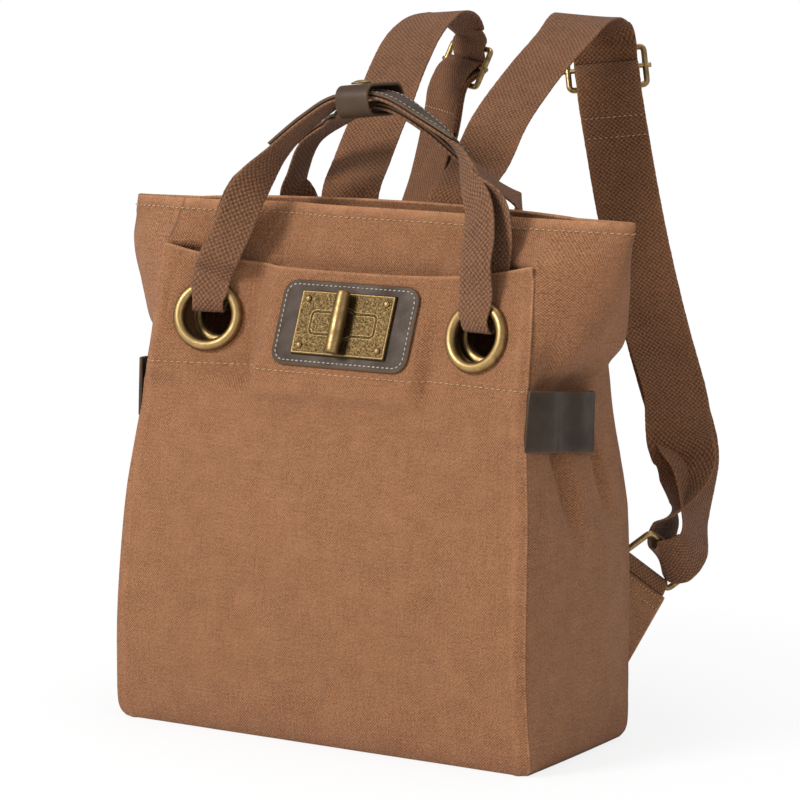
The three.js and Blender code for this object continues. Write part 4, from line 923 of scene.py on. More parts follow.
lock_frame = seat_frame(plain_pocket_y, lock_seat)
patch_bottom = GAP
patch_top = patch_bottom + PATCH_THICKNESS
patch_levels, patch_worn = [], []
for inset_by, height, worn in ((0.5, 0, 0.2), (0.1, 0.4, 0.5), (0, 0.9, 0.7), (0.1, 1.45, 0.9), (0.5, 1.85, 0.7),
                               (1.2, 2.0, 0.2), (2.2, 1.92, 0.0), (3.1, 1.8, 0.0), (4.0, 1.92, 0.0), (6.0, 2.0, 0.0)):
    patch_levels.append((rounded_outline(PATCH_WIDTH - 2 * inset_by, PATCH_HEIGHT - 2 * inset_by,
                                         PATCH_CORNER - inset_by), patch_bottom + height))
    patch_worn.append(worn)
fixed(stacked("lock_leather", patch_levels, lock_frame, patch_worn), leather, "lock_patch")
patch_line = rounded_outline(PATCH_WIDTH - 6.2, PATCH_HEIGHT - 6.2, PATCH_CORNER - 3.1)
patch_line.append(patch_line[0])
patch_points = placed(lock_frame, [(x, y, patch_top - 0.05) for x, y in patch_line])
sew("patch_stitches", [(patch_points, np.tile(lock_frame[1][2], (len(patch_points), 1)))], thread_pale,
    pitch=3.3, length=2.5, width=0.95, slant=0.1)

PLATE_DARK, PLATE_MIDDLE, PLATE_LIGHT = (0.035, 0.021, 0.009), (0.125, 0.082, 0.034), (0.46, 0.31, 0.13)
plate_brass = brass_material("plate_brass", PLATE_DARK, PLATE_MIDDLE, PLATE_LIGHT, 0.42, 900.0)
plate_bottom = patch_top + GAP
plate_top = plate_bottom + PLATE_THICKNESS


def past_rounded(x, y, width, height, corner):
    """Distance of a point outside a rounded rectangle, negative inside."""
    dx, dy = abs(x) - width / 2 + corner, abs(y) - height / 2 + corner
    return hypot(max(dx, 0), max(dy, 0)) + min(max(dx, dy), 0) - corner


def plate_relief(x, y):
    """How far the plate's face stands above or below its level, and how rubbed it is there."""
    edge = -past_rounded(x, y, PLATE_WIDTH, PLATE_HEIGHT, 1.0)
    bead = 0.35 * exp(-((edge - 1.0) / 0.45) ** 2)
    fall = -0.5 * max(0.0, 1 - edge / 0.5) ** 2
    slot = past_rounded(x, y, SLOT_WIDTH, SLOT_HEIGHT, SLOT_CORNER)
    ring = hypot(x, y) - SLOT_CIRCLE / 2
    groove = min(abs(slot) if ring > 0 else 9.0, abs(ring) if slot > 0 else 9.0)
    cut = -0.55 * exp(-(groove / 0.42) ** 2)
    lip = 0.16 * exp(-((groove - 0.95) / 0.35) ** 2)
    return bead + fall + cut + lip, min(1.0, 2.0 * bead + 3.0 * lip)


plate_x = np.linspace(-PLATE_WIDTH / 2, PLATE_WIDTH / 2, 169)
plate_y = np.linspace(-PLATE_HEIGHT / 2, PLATE_HEIGHT / 2, 103)
plate_points, plate_worn = [], []
for y in plate_y:
    for x in plate_x:
        lift, worn = plate_relief(x, y)
        plate_points.append((x, y, plate_top - 0.15 + lift))
        plate_worn.append(worn)
columns_here, rows_here = len(plate_x), len(plate_y)
plate_faces = skin_faces(rows_here, columns_here, False)
border = [*range(columns_here), *[r * columns_here + columns_here - 1 for r in range(1, rows_here)],
          *[(rows_here - 1) * columns_here + c for c in range(columns_here - 2, -1, -1)],
          *[r * columns_here for r in range(rows_here - 2, 0, -1)]]
low_first = len(plate_points)
plate_points += [(plate_points[i][0], plate_points[i][1], plate_bottom) for i in border]
plate_worn += [0.2] * len(border)
for i in range(len(border)):
    j = (i + 1) % len(border)
    plate_faces.append((border[j], border[i], low_first + i, low_first + j))
plate_faces.append(tuple(range(low_first + len(border) - 1, low_first - 1, -1)))
fixed(link_mesh("lock_face", placed(lock_frame, plate_points), plate_faces, wear=plate_worn),
      plate_brass, "lock_plate")
for i, (across, high) in enumerate(((-1, 1), (1, 1), (-1, -1), (1, -1))):
    profile = [(0.01, 0), (RIVET_DIAMETER / 2, 0)] + [
        (RIVET_DIAMETER / 2 * cos(a), RIVET_HEIGHT * sin(a)) for a in np.linspace(0.15, pi / 2 - 0.01, 9)]
    rivet, rivet_faces = lathe([(max(r, 0.01), plate_top + GAP - 0.25 + z) for r, z in profile], 32)
    rivet += [across * (PLATE_WIDTH / 2 - RIVET_INSET), high * (PLATE_HEIGHT / 2 - RIVET_INSET), 0]
    worn = np.repeat([0.6 * z / RIVET_HEIGHT for _, z in profile], 32)
    fixed(link_mesh(f"rivet_{i + 1}", placed(lock_frame, rivet), rivet_faces, wear=worn),
          brass, f"lock_rivet_{i + 1}")

# The lock's turning bar: a turned brass barrel on a pin, with a domed upper end and a flat lower one.
bar_middle = plate_top + BAR_LIFT + BAR_DIAMETER / 2
bar_profile = [(0.01, -BAR_LENGTH / 2), (3.4, -BAR_LENGTH / 2), (4.0, -BAR_LENGTH / 2 + 0.25)]
for t in np.linspace(-1, 1, 25):
    bar_profile.append((BAR_DIAMETER / 2 * (0.90 + 0.10 * (1 - t * t)), t * (BAR_LENGTH / 2 - 1.6)))
bar_profile += [(4.32 * cos(a), BAR_LENGTH / 2 - 1.6 + 1.6 * sin(a)) for a in np.linspace(0.25, pi / 2 - 0.003, 8)]
bar_points, bar_faces = lathe(bar_profile, 64)
bar_points = np.stack([bar_points[:, 0], bar_points[:, 2], -bar_points[:, 1]], axis=1) + [0, 0, bar_middle]
pin_profile = [(0.01, plate_bottom), (BAR_PIN / 2, plate_bottom), (BAR_PIN / 2, plate_top + 1.4),
               (BAR_PIN / 2 - 0.2, bar_middle - 3.0), (0.01, bar_middle - 3.0)]
pin_points, pin_faces = lathe(pin_profile, 40)
bar_count = len(bar_points)
bar_mesh_points = placed(lock_frame, np.concatenate([bar_points, pin_points]))
bar_worn = np.concatenate([np.repeat(np.full(len(bar_profile), 0.35), 64), np.zeros(len(pin_points))])
turn_piece = link_mesh("turn_barrel", bar_mesh_points,
                       bar_faces + [tuple(bar_count + v for v in face) for face in pin_faces], wear=bar_worn)
fixed(turn_piece, brass, "turn_bar", "turn_bar")

# The handles: two arches of herringbone cotton webbing. The front one runs through the grommets at
# both ends and has its cut ends sewn back on itself; the back one is sewn flat on the back panel.
HANDLE_WIDTH, HANDLE_RISE, WEBBING, LEFT_LEAN, RIGHT_LEAN = 25.4, 71.0, 1.8, 0.12, -0.06
WEBBING_DARK, WEBBING_MIDDLE, WEBBING_LIGHT = (0.082, 0.033, 0.014), (0.150, 0.062, 0.028), (0.290, 0.138, 0.068)
handle_webbing = cloth_material("handle_webbing", WEBBING_DARK, WEBBING_MIDDLE, WEBBING_LIGHT, 3.6, 0.9)
FRONT_ARCH = (
    # out, deep, rise, turn
    (-0.888, -0.718, -0.450, 22), (-0.855, -0.626, -0.268, 28), (-0.766, -0.489, 0.140, 44),
    (-0.585, -0.366, 0.507, 82), (-0.370, -0.260, 0.797, 90), (-0.170, -0.215, 0.966, 91),
    (0.146, -0.215, 1.000, 94), (0.404, -0.229, 0.838, 106), (0.677, -0.275, 0.592, 125),
    (0.773, -0.336, 0.430, 140), (0.848, -0.397, 0.260, 150), (0.924, -0.473, 0.100, 158),
    (0.969, -0.580, -0.140, 164), (0.985, -0.687, -0.345, 168),
)
REAR_LEFT = ((-0.700, -0.400, 0.338, 60), (-0.815, -0.400, 0.155, 42), (-0.925, -0.412, -0.180, 22),
             (-0.965, -0.440, -0.440, 14))
REAR_RIGHT = ((1.020, -0.440, -0.440, 172), (1.030, -0.400, -0.140, 165), (0.985, -0.350, 0.155, 150),
              (0.820, -0.342, 0.350, 142))
BACK_ARCH = (
    (-0.810, 0.530, -0.200, 6), (-0.830, 0.590, -0.030, 45), (-0.840, 0.500, 0.100, 80),
    (-0.785, 0.450, 0.268, 92), (-0.646, 0.350, 0.544, 92), (-0.404, 0.290, 0.740, 90),
    (-0.240, 0.090, 0.815, 90), (-0.120, -0.060, 0.880, 90), (0.150, -0.090, 0.905, 92),
    (0.400, -0.020, 0.725, 98), (0.600, 0.140, 0.450, 104), (0.745, 0.340, 0.240, 104),
    (0.850, 0.520, 0.080, 104), (0.840, 0.590, -0.030, 137), (0.810, 0.530, -0.200, 174),
)
SEWN_SHARES, SEWN_GAP = (0.855, 0.89, 0.92), 0.9


def handle_row(row):
    out, deep, rise_share, turn = row
    high = BAG_HEIGHT + rise_share * (HANDLE_RISE if rise_share > 0 else BAG_HEIGHT - GROMMET_HEIGHT)
    return ((out * GROMMET_SPACING / 2, deep * HALF_DEPTH, high), (cos(radians(turn)), sin(radians(turn)), 0), 1.0)


def through_grommet(place, side, lean):
    """The webbing's way through a grommet, from behind the pocket to its front."""
    here = seat_frame(plain_pocket_y, place)
    ahead = GAP + GROMMET_ROLL + GAP + WEBBING / 2
    behind = -(CANVAS_WALL + 2 * GAP + WASHER + WEBBING / 2)
    reach = GROMMET_INNER / 2
    steps = ((1.65, behind - 1, 1), (1.10, behind - 1, 1), (0.60, behind - 0.6, 0.8), (0.25, behind / 2, 0.8),
             (0.25, ahead / 3, 0.8), (0.60, ahead - 0.4, 0.8), (1.10, ahead + 0.6, 1), (1.65, ahead + 0.2, 1))
    return [(tuple(placed(here, (lean * (up - 0.25) * reach, up * reach, out))), tuple(side * here[1][0]), wide)
            for up, out, wide in steps]


def sewn_rows(x, width, side):
    """Webbing sewn flat to the outside of the back wall, from low to high."""
    rows_here = []
    for share in SEWN_SHARES:
        wall = back_wall_y((abs(x) - width / 2) / (HALF_WIDTH * section_at(share)["back"]), share)
        rows_here.append(((x, wall + SEWN_GAP + WEBBING / 2, share * BAG_HEIGHT), (side, 0, 0), 1.0))
    return rows_here


def smooth_route(rows_here, pace=1.4, first=0, last=None):
    """Middles, ways along, across and out of the face, widths and lengths every pace mm on a route."""
    last = len(rows_here) - 1 if last is None else last
    at = np.array([row[0] for row in rows_here], float)
    edges = np.array([row[1] for row in rows_here], float)
    wides = np.array([row[2] for row in rows_here], float)
    at = np.vstack([2 * at[0] - at[1], at, 2 * at[-1] - at[-2]])
    edges = np.vstack([2 * edges[0] - edges[1], edges, 2 * edges[-1] - edges[-2]])
    made = []
    for i in range(first, last):
        p0, p1, p2, p3 = at[i:i + 4]
        e0, e1, e2, e3 = edges[i:i + 4]
        d1 = sqrt(np.linalg.norm(p2 - p1))
        d0, d2 = sqrt(np.linalg.norm(p1 - p0)) or d1, sqrt(np.linalg.norm(p3 - p2)) or d1
        m1 = ((p1 - p0) / d0 - (p2 - p0) / (d0 + d1) + (p2 - p1) / d1) * d1
        m2 = ((p2 - p1) / d1 - (p3 - p1) / (d1 + d2) + (p3 - p2) / d2) * d1
        count_here = max(2, int(np.ceil(np.linalg.norm(p2 - p1) / pace)))
        for t in np.linspace(0, 1, count_here, endpoint=False).tolist() + ([1.0] if i == last - 1 else []):
            a, b, c, d = 2 * t**3 - 3 * t**2 + 1, t**3 - 2 * t**2 + t, 3 * t**2 - 2 * t**3, t**3 - t**2
            middle = a * p1 + b * m1 + c * p2 + d * m2
            along_here = ((6 * t**2 - 6 * t) * (p1 - p2) + (3 * t**2 - 4 * t + 1) * m1 + (3 * t**2 - 2 * t) * m2)
            along_here /= np.linalg.norm(along_here)
            edge = a * e1 + b * (e2 - e0) / 2 + c * e2 + d * (e3 - e1) / 2
            edge -= along_here * (edge @ along_here)
            edge /= np.linalg.norm(edge)
            made.append((middle, along_here, edge, np.cross(along_here, edge),
                         wides[i] * (1 - t) + wides[i + 1] * t))
    parts = [np.array([m[k] for m in made]) for k in range(5)]
    lengths = np.concatenate([[0], np.cumsum(np.linalg.norm(np.diff(parts[0], axis=0), axis=1))])
    return (*parts, lengths)


def band_section(width, thickness, count_here=10):
    """Points of a flat band's rounded cross-section as (across, out of the face), going round it."""
    half, thin = width / 2 - thickness / 2, thickness / 2
    flat = np.linspace(-half, half, count_here)
    right_end = [(half + thin * sin(a), -thin * cos(a)) for a in np.linspace(0.4, pi - 0.4, 5)]
    left_end = [(-half - thin * sin(a), thin * cos(a)) for a in np.linspace(0.4, pi - 0.4, 5)]
    return np.array([(x, -thin) for x in flat] + right_end + [(x, thin) for x in flat[::-1]] + left_end)


def band(name, path, width, thickness, lift=0.0, shut=False, mirror=False, rough=0.0, rubbed=0.6):
    """A flat band of cloth or leather along a smooth route, its UV running along and across it."""
    middle, along_here, edge, face, wide, lengths = path
    section = band_section(width, thickness, max(6, int(width / 3)))
    size = len(section)
    a = section[:, 0][None, :] * wide[:, None]
    b = np.broadcast_to(section[:, 1][None, :] + lift, a.shape).copy()
    if rough:
        jitter = [rough * noise.noise(Vector((s / 1.7, 3.1 if x > 0 else 9.7, 0.5)))
                  for s in lengths for x in section[:, 0]]
        a = a * (1 + np.array(jitter).reshape(a.shape) / width)
    points = middle[:, None, :] + edge[:, None, :] * a[:, :, None] + face[:, None, :] * b[:, :, None]
    points = points.reshape(-1, 3)
    if mirror:
        points = points * [-1, 1, 1]
    band_faces = skin_faces(len(middle), size, True, shut=shut)
    if not shut:
        band_faces += [tuple(reversed(range(size))), tuple(range((len(middle) - 1) * size, len(middle) * size))]
    under = np.where(section[:, 1] < 0, 0.0, width + 11.0)
    uvs = np.stack([np.repeat(lengths, size), (section[:, 0][None, :] + under[None, :]
                                               + 0 * lengths[:, None]).ravel()], axis=1)
    close = np.clip(1 - (width / 2 - np.abs(section[:, 0])) / 1.3, 0, 1)
    return link_mesh(name, points, band_faces, uvs, np.tile(0.08 + rubbed * close, len(middle)))


def band_seams(path, offsets, lift, mirror=False, first=0.0, last=1.0):
    """Seam lines along a band at distances across it, between two shares of its length."""
    middle, along_here, edge, face, wide, lengths = path
    share = lengths / lengths[-1]
    keep = (share >= first) & (share <= last)
    seams = []
    for across in offsets:
        points = middle + edge * across * wide[:, None] + face * lift
        ways = face * (1 if lift > 0 else -1)
        if mirror:
            points, ways = points * [-1, 1, 1], ways * [-1, 1, 1]
        seams.append((points[keep], ways[keep]))
    return seams


front_rows = [*map(handle_row, REAR_LEFT), *through_grommet(grommet_seats[0], 1, LEFT_LEAN),
              *map(handle_row, FRONT_ARCH), *through_grommet(grommet_seats[1], -1, RIGHT_LEAN)[::-1],
              *map(handle_row, REAR_RIGHT)]
back_spread = BACK_ARCH[0][0] * GROMMET_SPACING / 2
back_rows = [*sewn_rows(back_spread, HANDLE_WIDTH, 1), *map(handle_row, BACK_ARCH),
             *sewn_rows(-back_spread, HANDLE_WIDTH, -1)[::-1]]
front_route, back_route = smooth_route(front_rows), smooth_route(back_rows)
fixed(band("front_handle", front_route, HANDLE_WIDTH, WEBBING, rough=0.5), handle_webbing, "handle_front")
fixed(band("back_handle", back_route, HANDLE_WIDTH, WEBBING, rough=0.5), handle_webbing, "handle_back")

# The grips: strips of the same leather sewn along both edges on top of each handle, and the keeper,
# a leather loop shut by a brass snap, which holds the two handles together.
LEATHER_WALL, GRIP_WIDTH, GRIP_GAP = 2.2, 24.6, 0.6
KEEPER_WIDTH, KEEPER_HEIGHT, KEEPER_DEPTH = 24.0, 21.0, 46.0
KEEPER_TILT, KEEPER_SHIFT, KEEPER_DROP, SNAP_DIAMETER, SNAP_HEIGHT = 6.0, 9.0, 2.1, 12.6, 2.4
grip_lift = WEBBING / 2 + GRIP_GAP + LEATHER_WALL / 2
grip_seams = []
for name, rows_of, (first, last), node_name in (("front_grip", front_rows, (15, 20), "grip_front"),
                                                ("back_grip", back_rows, (7, 13), "grip_back")):
    grip_route = smooth_route(rows_of, first=first, last=last)
    fixed(band(name, grip_route, GRIP_WIDTH, LEATHER_WALL, grip_lift), leather, node_name)
    grip_seams += band_seams(grip_route, (-GRIP_WIDTH / 2 + 3, GRIP_WIDTH / 2 - 3),
                             grip_lift + LEATHER_WALL / 2 + 0.05, first=0.01, last=0.99)
sew("grip_stitches", grip_seams, thread_pale, pitch=3.6, length=2.6, width=0.6)

keeper_turn = np.array(Matrix.Rotation(radians(-KEEPER_TILT), 3, "Y"))
keeper_at = np.array((0, -KEEPER_SHIFT, BAG_HEIGHT + HANDLE_RISE - KEEPER_DROP))
keeper_line = rounded_outline(KEEPER_DEPTH - LEATHER_WALL, KEEPER_HEIGHT - LEATHER_WALL,
                              KEEPER_HEIGHT / 2.4 - LEATHER_WALL / 2, 10)
keeper_fine = []
for (x0, y0), (x1, y1) in zip(keeper_line, keeper_line[1:] + keeper_line[:1]):
    for t in np.linspace(0, 1, max(2, int(hypot(x1 - x0, y1 - y0) / 1.5) + 1))[:-1]:
        keeper_fine.append((x0 + (x1 - x0) * t, y0 + (y1 - y0) * t))
loop = np.array([(0, y, z) for y, z in keeper_fine])
loop_along = np.roll(loop, -1, axis=0) - np.roll(loop, 1, axis=0)
loop_along /= np.maximum(1e-9, np.linalg.norm(loop_along, axis=1, keepdims=True))
loop_edge = np.tile([1.0, 0, 0], (len(loop), 1))
loop_face = np.cross(loop_along, loop_edge)
loop_lengths = np.concatenate([[0], np.cumsum(np.linalg.norm(np.diff(loop, axis=0), axis=1))])
keeper_route = (loop @ keeper_turn.T + keeper_at, loop_along @ keeper_turn.T, loop_edge @ keeper_turn.T,
                loop_face @ keeper_turn.T, np.ones(len(loop)), loop_lengths)
fixed(band("keeper_loop", keeper_route, KEEPER_WIDTH, LEATHER_WALL, shut=True), leather, "handle_keeper")
snap_profile = [(0.01, 0), (SNAP_DIAMETER / 2 - 0.3, 0), (SNAP_DIAMETER / 2, 0.4), (SNAP_DIAMETER / 2 - 0.15, 1.0),
                (SNAP_DIAMETER / 2 - 0.9, 1.25), (SNAP_DIAMETER / 2 - 1.3, 1.1)]
snap_profile += [((SNAP_DIAMETER / 2 - 1.6) * cos(a), 1.1 + (SNAP_HEIGHT - 1.1) * sin(a))
                 for a in np.linspace(0.1, pi / 2 - 0.003, 10)]
snap_points, snap_faces = lathe(snap_profile, 48)
snap_points += [0, -KEEPER_DEPTH / 5, KEEPER_HEIGHT / 2 + GAP]
snap_worn = np.repeat([0.1 + 0.5 * z / SNAP_HEIGHT for _, z in snap_profile], 48)
fixed(link_mesh("snap_cap", snap_points @ keeper_turn.T + keeper_at, snap_faces, wear=snap_worn),
      brass, "keeper_snap")

# The side bands: leather straps sewn into the front seams that cinch the gussets towards the back.
BAND_WIDTH, BAND_HEIGHT, BAND_DROP, BAND_GAP, BAND_START, BAND_END = 38.0, 217.08, 8.0, 1.6, 0.01, 0.66
BAND_BULGE, BAND_TUCK, BAND_AHEAD = 1.6, 2.6, 4.5
BAND_DARK, BAND_MIDDLE, BAND_EDGE = (0.015, 0.007, 0.003), (0.034, 0.017, 0.007), (0.105, 0.058, 0.028)
band_leather = leather_material("band_leather", BAND_DARK, BAND_MIDDLE, BAND_EDGE, 0.4)
side_rows = []
for i in range(9):
    across = BAND_START + (BAND_END - BAND_START) * i / 8
    high = BAND_HEIGHT - BAND_DROP * i / 8
    reach = max(gusset_point(across, (high + e * BAND_WIDTH / 2) / BAG_HEIGHT)[0] for e in (-1, -0.5, 0, 0.5, 1))
    bulge = BAND_BULGE * sin(pi * i / 8) - BAND_TUCK * abs(i / 4 - 1) ** 6
    ahead = BAND_AHEAD * max(0, 1 - i / 2)
    side_rows.append(((reach + BAND_GAP + LEATHER_WALL / 2 + bulge,
                       gusset_point(across, high / BAG_HEIGHT)[1] - ahead, high), (0, 0, 1), 1.0))
side_route = smooth_route(side_rows)
for name, mirror in (("left", True), ("right", False)):
    fixed(band(f"cinch_{name}", side_route, BAND_WIDTH, LEATHER_WALL, mirror=mirror, rubbed=0.9),
          band_leather, f"side_band_{name}")

# The shoulder straps: two lengths of wide webbing. Each is sewn on the back under the rim, arches
# over, runs down through a slider and a wire ring, and comes back up to the slider's middle bar.
STRAP_WIDTH, STRAP_RISE, STRAP_REACH = 43.0, 120.0, 137.0
WIRE, RING_ARM, RING_SLACK, RING_CORNER, RING_HEIGHT = 4.0, 24.0, 2.6, 3.5, 116.915
RING_SLOPE, RING_SWING, TAB_PLACE, TAB_TURN = radians(32.7), radians(48.5), 0.938, radians(73.3)
SLIDER_HEIGHT, SLIDER_RISE, SLIDER_TURN, SLIDER_LEAN = 27.0, 0.70, radians(30.7), 0.3
BAR_WIRE, BAR_END, RUN_LEAD, RUN_BEHIND = 3.2, 2.0, 8.0, 3.5
# The slider's place across, as a share of half the bag's width, and the bow of the run below it
STRAP_HANGS = {"left": (0.345, 31.0), "right": (0.374, 7.0)}
RING_SPAN = STRAP_WIDTH + WIRE + 2 * RING_SLACK
STRAP_FRONT = (
    # out, back, rise, turn, dip
    (0.262, -0.242, 0.042, 0, 0), (0.287, -0.082, 0.233, 0, 0), (0.297, 0.083, 0.450, 0, 0),
    (0.340, 0.334, 0.708, 0, 0), (0.372, 0.568, 0.892, 0, 0.04), (0.362, 0.743, 0.985, 6, 0.08),
    (0.350, 0.867, 0.985, 16, 0.05), (0.345, 0.977, 0.915, 26, 0),
)
STRAP_LOOP = (
    # x, y, z, turn, dip
    (-0.14, 0.65, 1.56, 44, 0.05), (0.10, 0.46, 1.10, 74, 0.20), (0.19, 0.31, 0.52, 90, 0.50),
    (0.24, 0.16, 0.06, 90, 0.82), (0.11, 0.00, -0.13, 93, 1.15), (-0.19, -0.045, -0.167, 92.3, 1.036),
    (-0.22, 0.13, 0.277, 100, 0.85), (-0.10, 0.20, 0.60, 128, 0.30), (-0.03, 0.28, 0.94, 158, 0.12),
    (-0.02, 0.38, 1.28, 180, 0), (-0.16, 0.46, 1.62, 203, 0),
)
back_plane = HALF_DEPTH * SECTIONS[6][7]


def unit(v):
    v = np.asarray(v, float)
    return v / np.linalg.norm(v)


def leaning(turn, dip):
    return unit((cos(radians(turn)), sin(radians(turn)), -dip))


def ring_axes():
    share = RING_HEIGHT / BAG_HEIGHT
    x = HALF_WIDTH * TAB_PLACE
    y = back_wall_y(x / (HALF_WIDTH * section_at(share)["back"]), share) + WIRE + 2 * GAP
    outward = np.array((sin(TAB_TURN), -cos(TAB_TURN), 0))
    level_way = np.array((cos(TAB_TURN), sin(TAB_TURN), 0))
    bar = level_way * cos(RING_SLOPE) - np.array((0, 0, sin(RING_SLOPE)))
    return np.array((x, y, RING_HEIGHT)), bar, outward, level_way, np.cross(outward, bar)


ring_origin, ring_bar, ring_outward, ring_level, ring_upward = ring_axes()
ring_arm_way = ring_outward * cos(RING_SWING) + ring_upward * sin(RING_SWING)
ring_frame = (ring_origin, np.array((ring_bar, ring_arm_way, np.cross(ring_bar, ring_arm_way))))
slider_bars = unit((cos(SLIDER_TURN), sin(SLIDER_TURN), 0.1))
slider_up = np.array((-SLIDER_LEAN, SLIDER_LEAN, 1.0))
slider_up = unit(slider_up - slider_bars * (slider_up @ slider_bars))


def slider_frame(place_out):
    return (np.array((HALF_WIDTH * place_out, back_plane + STRAP_REACH, BAG_HEIGHT + SLIDER_RISE * STRAP_RISE)),
            np.array((slider_bars, slider_up, np.cross(slider_bars, slider_up))))


def loop_row(row):
    x, y, z, turn, dip = row
    arm_middle = placed(ring_frame, (RING_SPAN / 2, RING_ARM, 0))
    return arm_middle + np.array((x, y, z)) * STRAP_WIDTH, leaning(turn, dip), 1.0


layer = WEBBING + GAP
tall = SLIDER_HEIGHT / 2
over = WIRE / 2 + GAP + WEBBING / 2
wrap = BAR_WIRE / 2 + 2 * GAP + WEBBING / 2


def slider_rows(hang, places_here, side):
    here = slider_frame(hang[0])
    return [(placed(here, (0, up, out)), side * slider_bars, 1.0) for up, out in places_here]


def run_face(hang, share):
    """The middle, the way across and the way out of the doubled run's face at a share of its length."""
    here = slider_frame(hang[0])
    start = placed(here, (0, -tall - RUN_LEAD, over))
    end = loop_row(STRAP_LOOP[0])[0]
    bow = sin(pi * share)
    middle = start + (end - start) * share + np.array((-hang[1] * bow, RUN_BEHIND * bow, 0))
    across = unit(slider_bars * (1 - share**2) + leaning(*STRAP_LOOP[0][3:]) * share**2)
    return middle, across, unit(np.cross(unit(end - here[0]), across))


def run_row(hang, share, lift, side):
    middle, across, face = run_face(hang, share)
    return middle + face * lift, across * side, 1.0


def strap_way(hang):
    """The whole strap's rows, from its sewn end through the slider and ring and back to the bar."""
    rows_here = sewn_rows(STRAP_FRONT[0][0] * HALF_WIDTH, STRAP_WIDTH, 1)
    rows_here += [((out * HALF_WIDTH, back_plane + deep * STRAP_REACH, BAG_HEIGHT + rise_share * STRAP_RISE),
                   leaning(turn, dip), 1.0) for out, deep, rise_share, turn, dip in STRAP_FRONT]
    rows_here += slider_rows(hang, [(tall + 5, over + 0.6), (tall, over + 0.3), (tall / 2, -0.4),
                                    (0, -wrap - layer - 0.2), (-tall / 2, -0.6), (-tall, over),
                                    (-tall - RUN_LEAD, over)], 1)
    rows_here += [run_row(hang, share, 0, 1) for share in (0.12, 0.3, 0.5, 0.7, 0.88)]
    rows_here += [loop_row(row) for row in STRAP_LOOP]
    rows_here += [run_row(hang, share, layers * layer, -1) for share, layers in
                  ((0.88, 1.6), (0.7, 1.2), (0.5, 1.1), (0.32, 1.6), (0.16, 2), (0.06, 2))]
    rows_here += slider_rows(hang, [(-tall - RUN_LEAD, over + 2 * layer), (-tall, over + 2 * layer),
                                    (-tall / 2, over + 1.6 * layer), (0, wrap), (wrap * 0.7, wrap * 0.7), (wrap, 0),
                                    (wrap * 0.7, -wrap * 0.7), (0, -wrap), (-tall / 2, layer - 0.4),
                                    (-tall, over + layer), (-tall - RUN_LEAD, over + layer)], -1)
    rows_here += [run_row(hang, share, layer, -1) for share in (0.06, 0.14)]
    return rows_here


def tail_seams(hang, mirror):
    """Two rows of stitches across the run where the strap's end is sewn to it, on the side that shows."""
    seams = []
    for share in (0.07, 0.13):
        middle, across, face = run_face(hang, share)
        front_side, lift = (-1, -WEBBING / 2 - 0.35) if face[1] > 0 else (1, 2 * layer + WEBBING / 2 + 0.35)
        points = middle + across * np.linspace(-STRAP_WIDTH / 2 + 3, STRAP_WIDTH / 2 - 3, 14)[:, None] + face * lift
        ways = np.tile(face * front_side, (14, 1))
        seams.append((points * [-1, 1, 1], ways * [-1, 1, 1]) if mirror else (points, ways))
    return seams


# The shoulder straps' webbing is coloured a little darker than the handles', which is painted shade that the straps
# sit in.
SHADED_STRAP_DARK, SHADED_STRAP_MIDDLE, SHADED_STRAP_LIGHT = (0.072, 0.027, 0.010), (0.145, 0.056, 0.022), (0.290, 0.128, 0.056)
shaded_strap_webbing = cloth_material("shaded_strap_webbing", SHADED_STRAP_DARK, SHADED_STRAP_MIDDLE, SHADED_STRAP_LIGHT, 3.2, 0.9)
for name, mirror in (("left", True), ("right", False)):
    fixed(band(f"strap_{name}", smooth_route(strap_way(STRAP_HANGS[name])), STRAP_WIDTH, WEBBING, mirror=mirror,
               rough=0.5), shaded_strap_webbing, f"shoulder_strap_{name}")
    sew(f"strap_stitches_{name}", tail_seams(STRAP_HANGS[name], mirror), thread_tan, pitch=3.4, length=2.6,
        width=0.8)

# The straps' hardware: bent brass wire, a slider with a bar across its middle and a ring in a loop
# of webbing, which is sewn on the slanting edge of a stiff canvas triangle in the side seam.
TAB_CANVAS, TAB_DROP, TAB_FOOT, TAB_SHORT = 3.0, 6.7, 38.02, 1.0
WIRE_DARK, WIRE_MIDDLE, WIRE_LIGHT = (0.10, 0.060, 0.026), (0.34, 0.220, 0.090), (0.60, 0.42, 0.19)
wire_brass = brass_material("wire_brass", WIRE_DARK, WIRE_MIDDLE, WIRE_LIGHT, 0.3)


def wire_loop(corners, corner, diameter, sides=14):
    """Points and faces of a closed wire through corner points, its corners rounded."""
    corners = np.asarray(corners, float)
    points = []
    for i, point in enumerate(corners):
        into = point + unit(corners[i - 1] - point) * corner
        out = point + unit(corners[(i + 1) % len(corners)] - point) * corner
        points += [(1 - t) ** 2 * into + 2 * t * (1 - t) * point + t * t * out for t in np.linspace(0, 1, 7)]
    points = np.array(points)
    level_way = unit(np.cross(corners[1] - corners[0], corners[2] - corners[1]))
    rings = []
    for i, point in enumerate(points):
        way = unit(points[(i + 1) % len(points)] - points[i - 1])
        side = np.cross(way, level_way)
        angles = 2 * pi * np.arange(sides) / sides
        rings.append(point + diameter / 2 * (np.cos(angles)[:, None] * side + np.sin(angles)[:, None] * level_way))
    return np.concatenate(rings), skin_faces(len(rings), sides, True, shut=True)


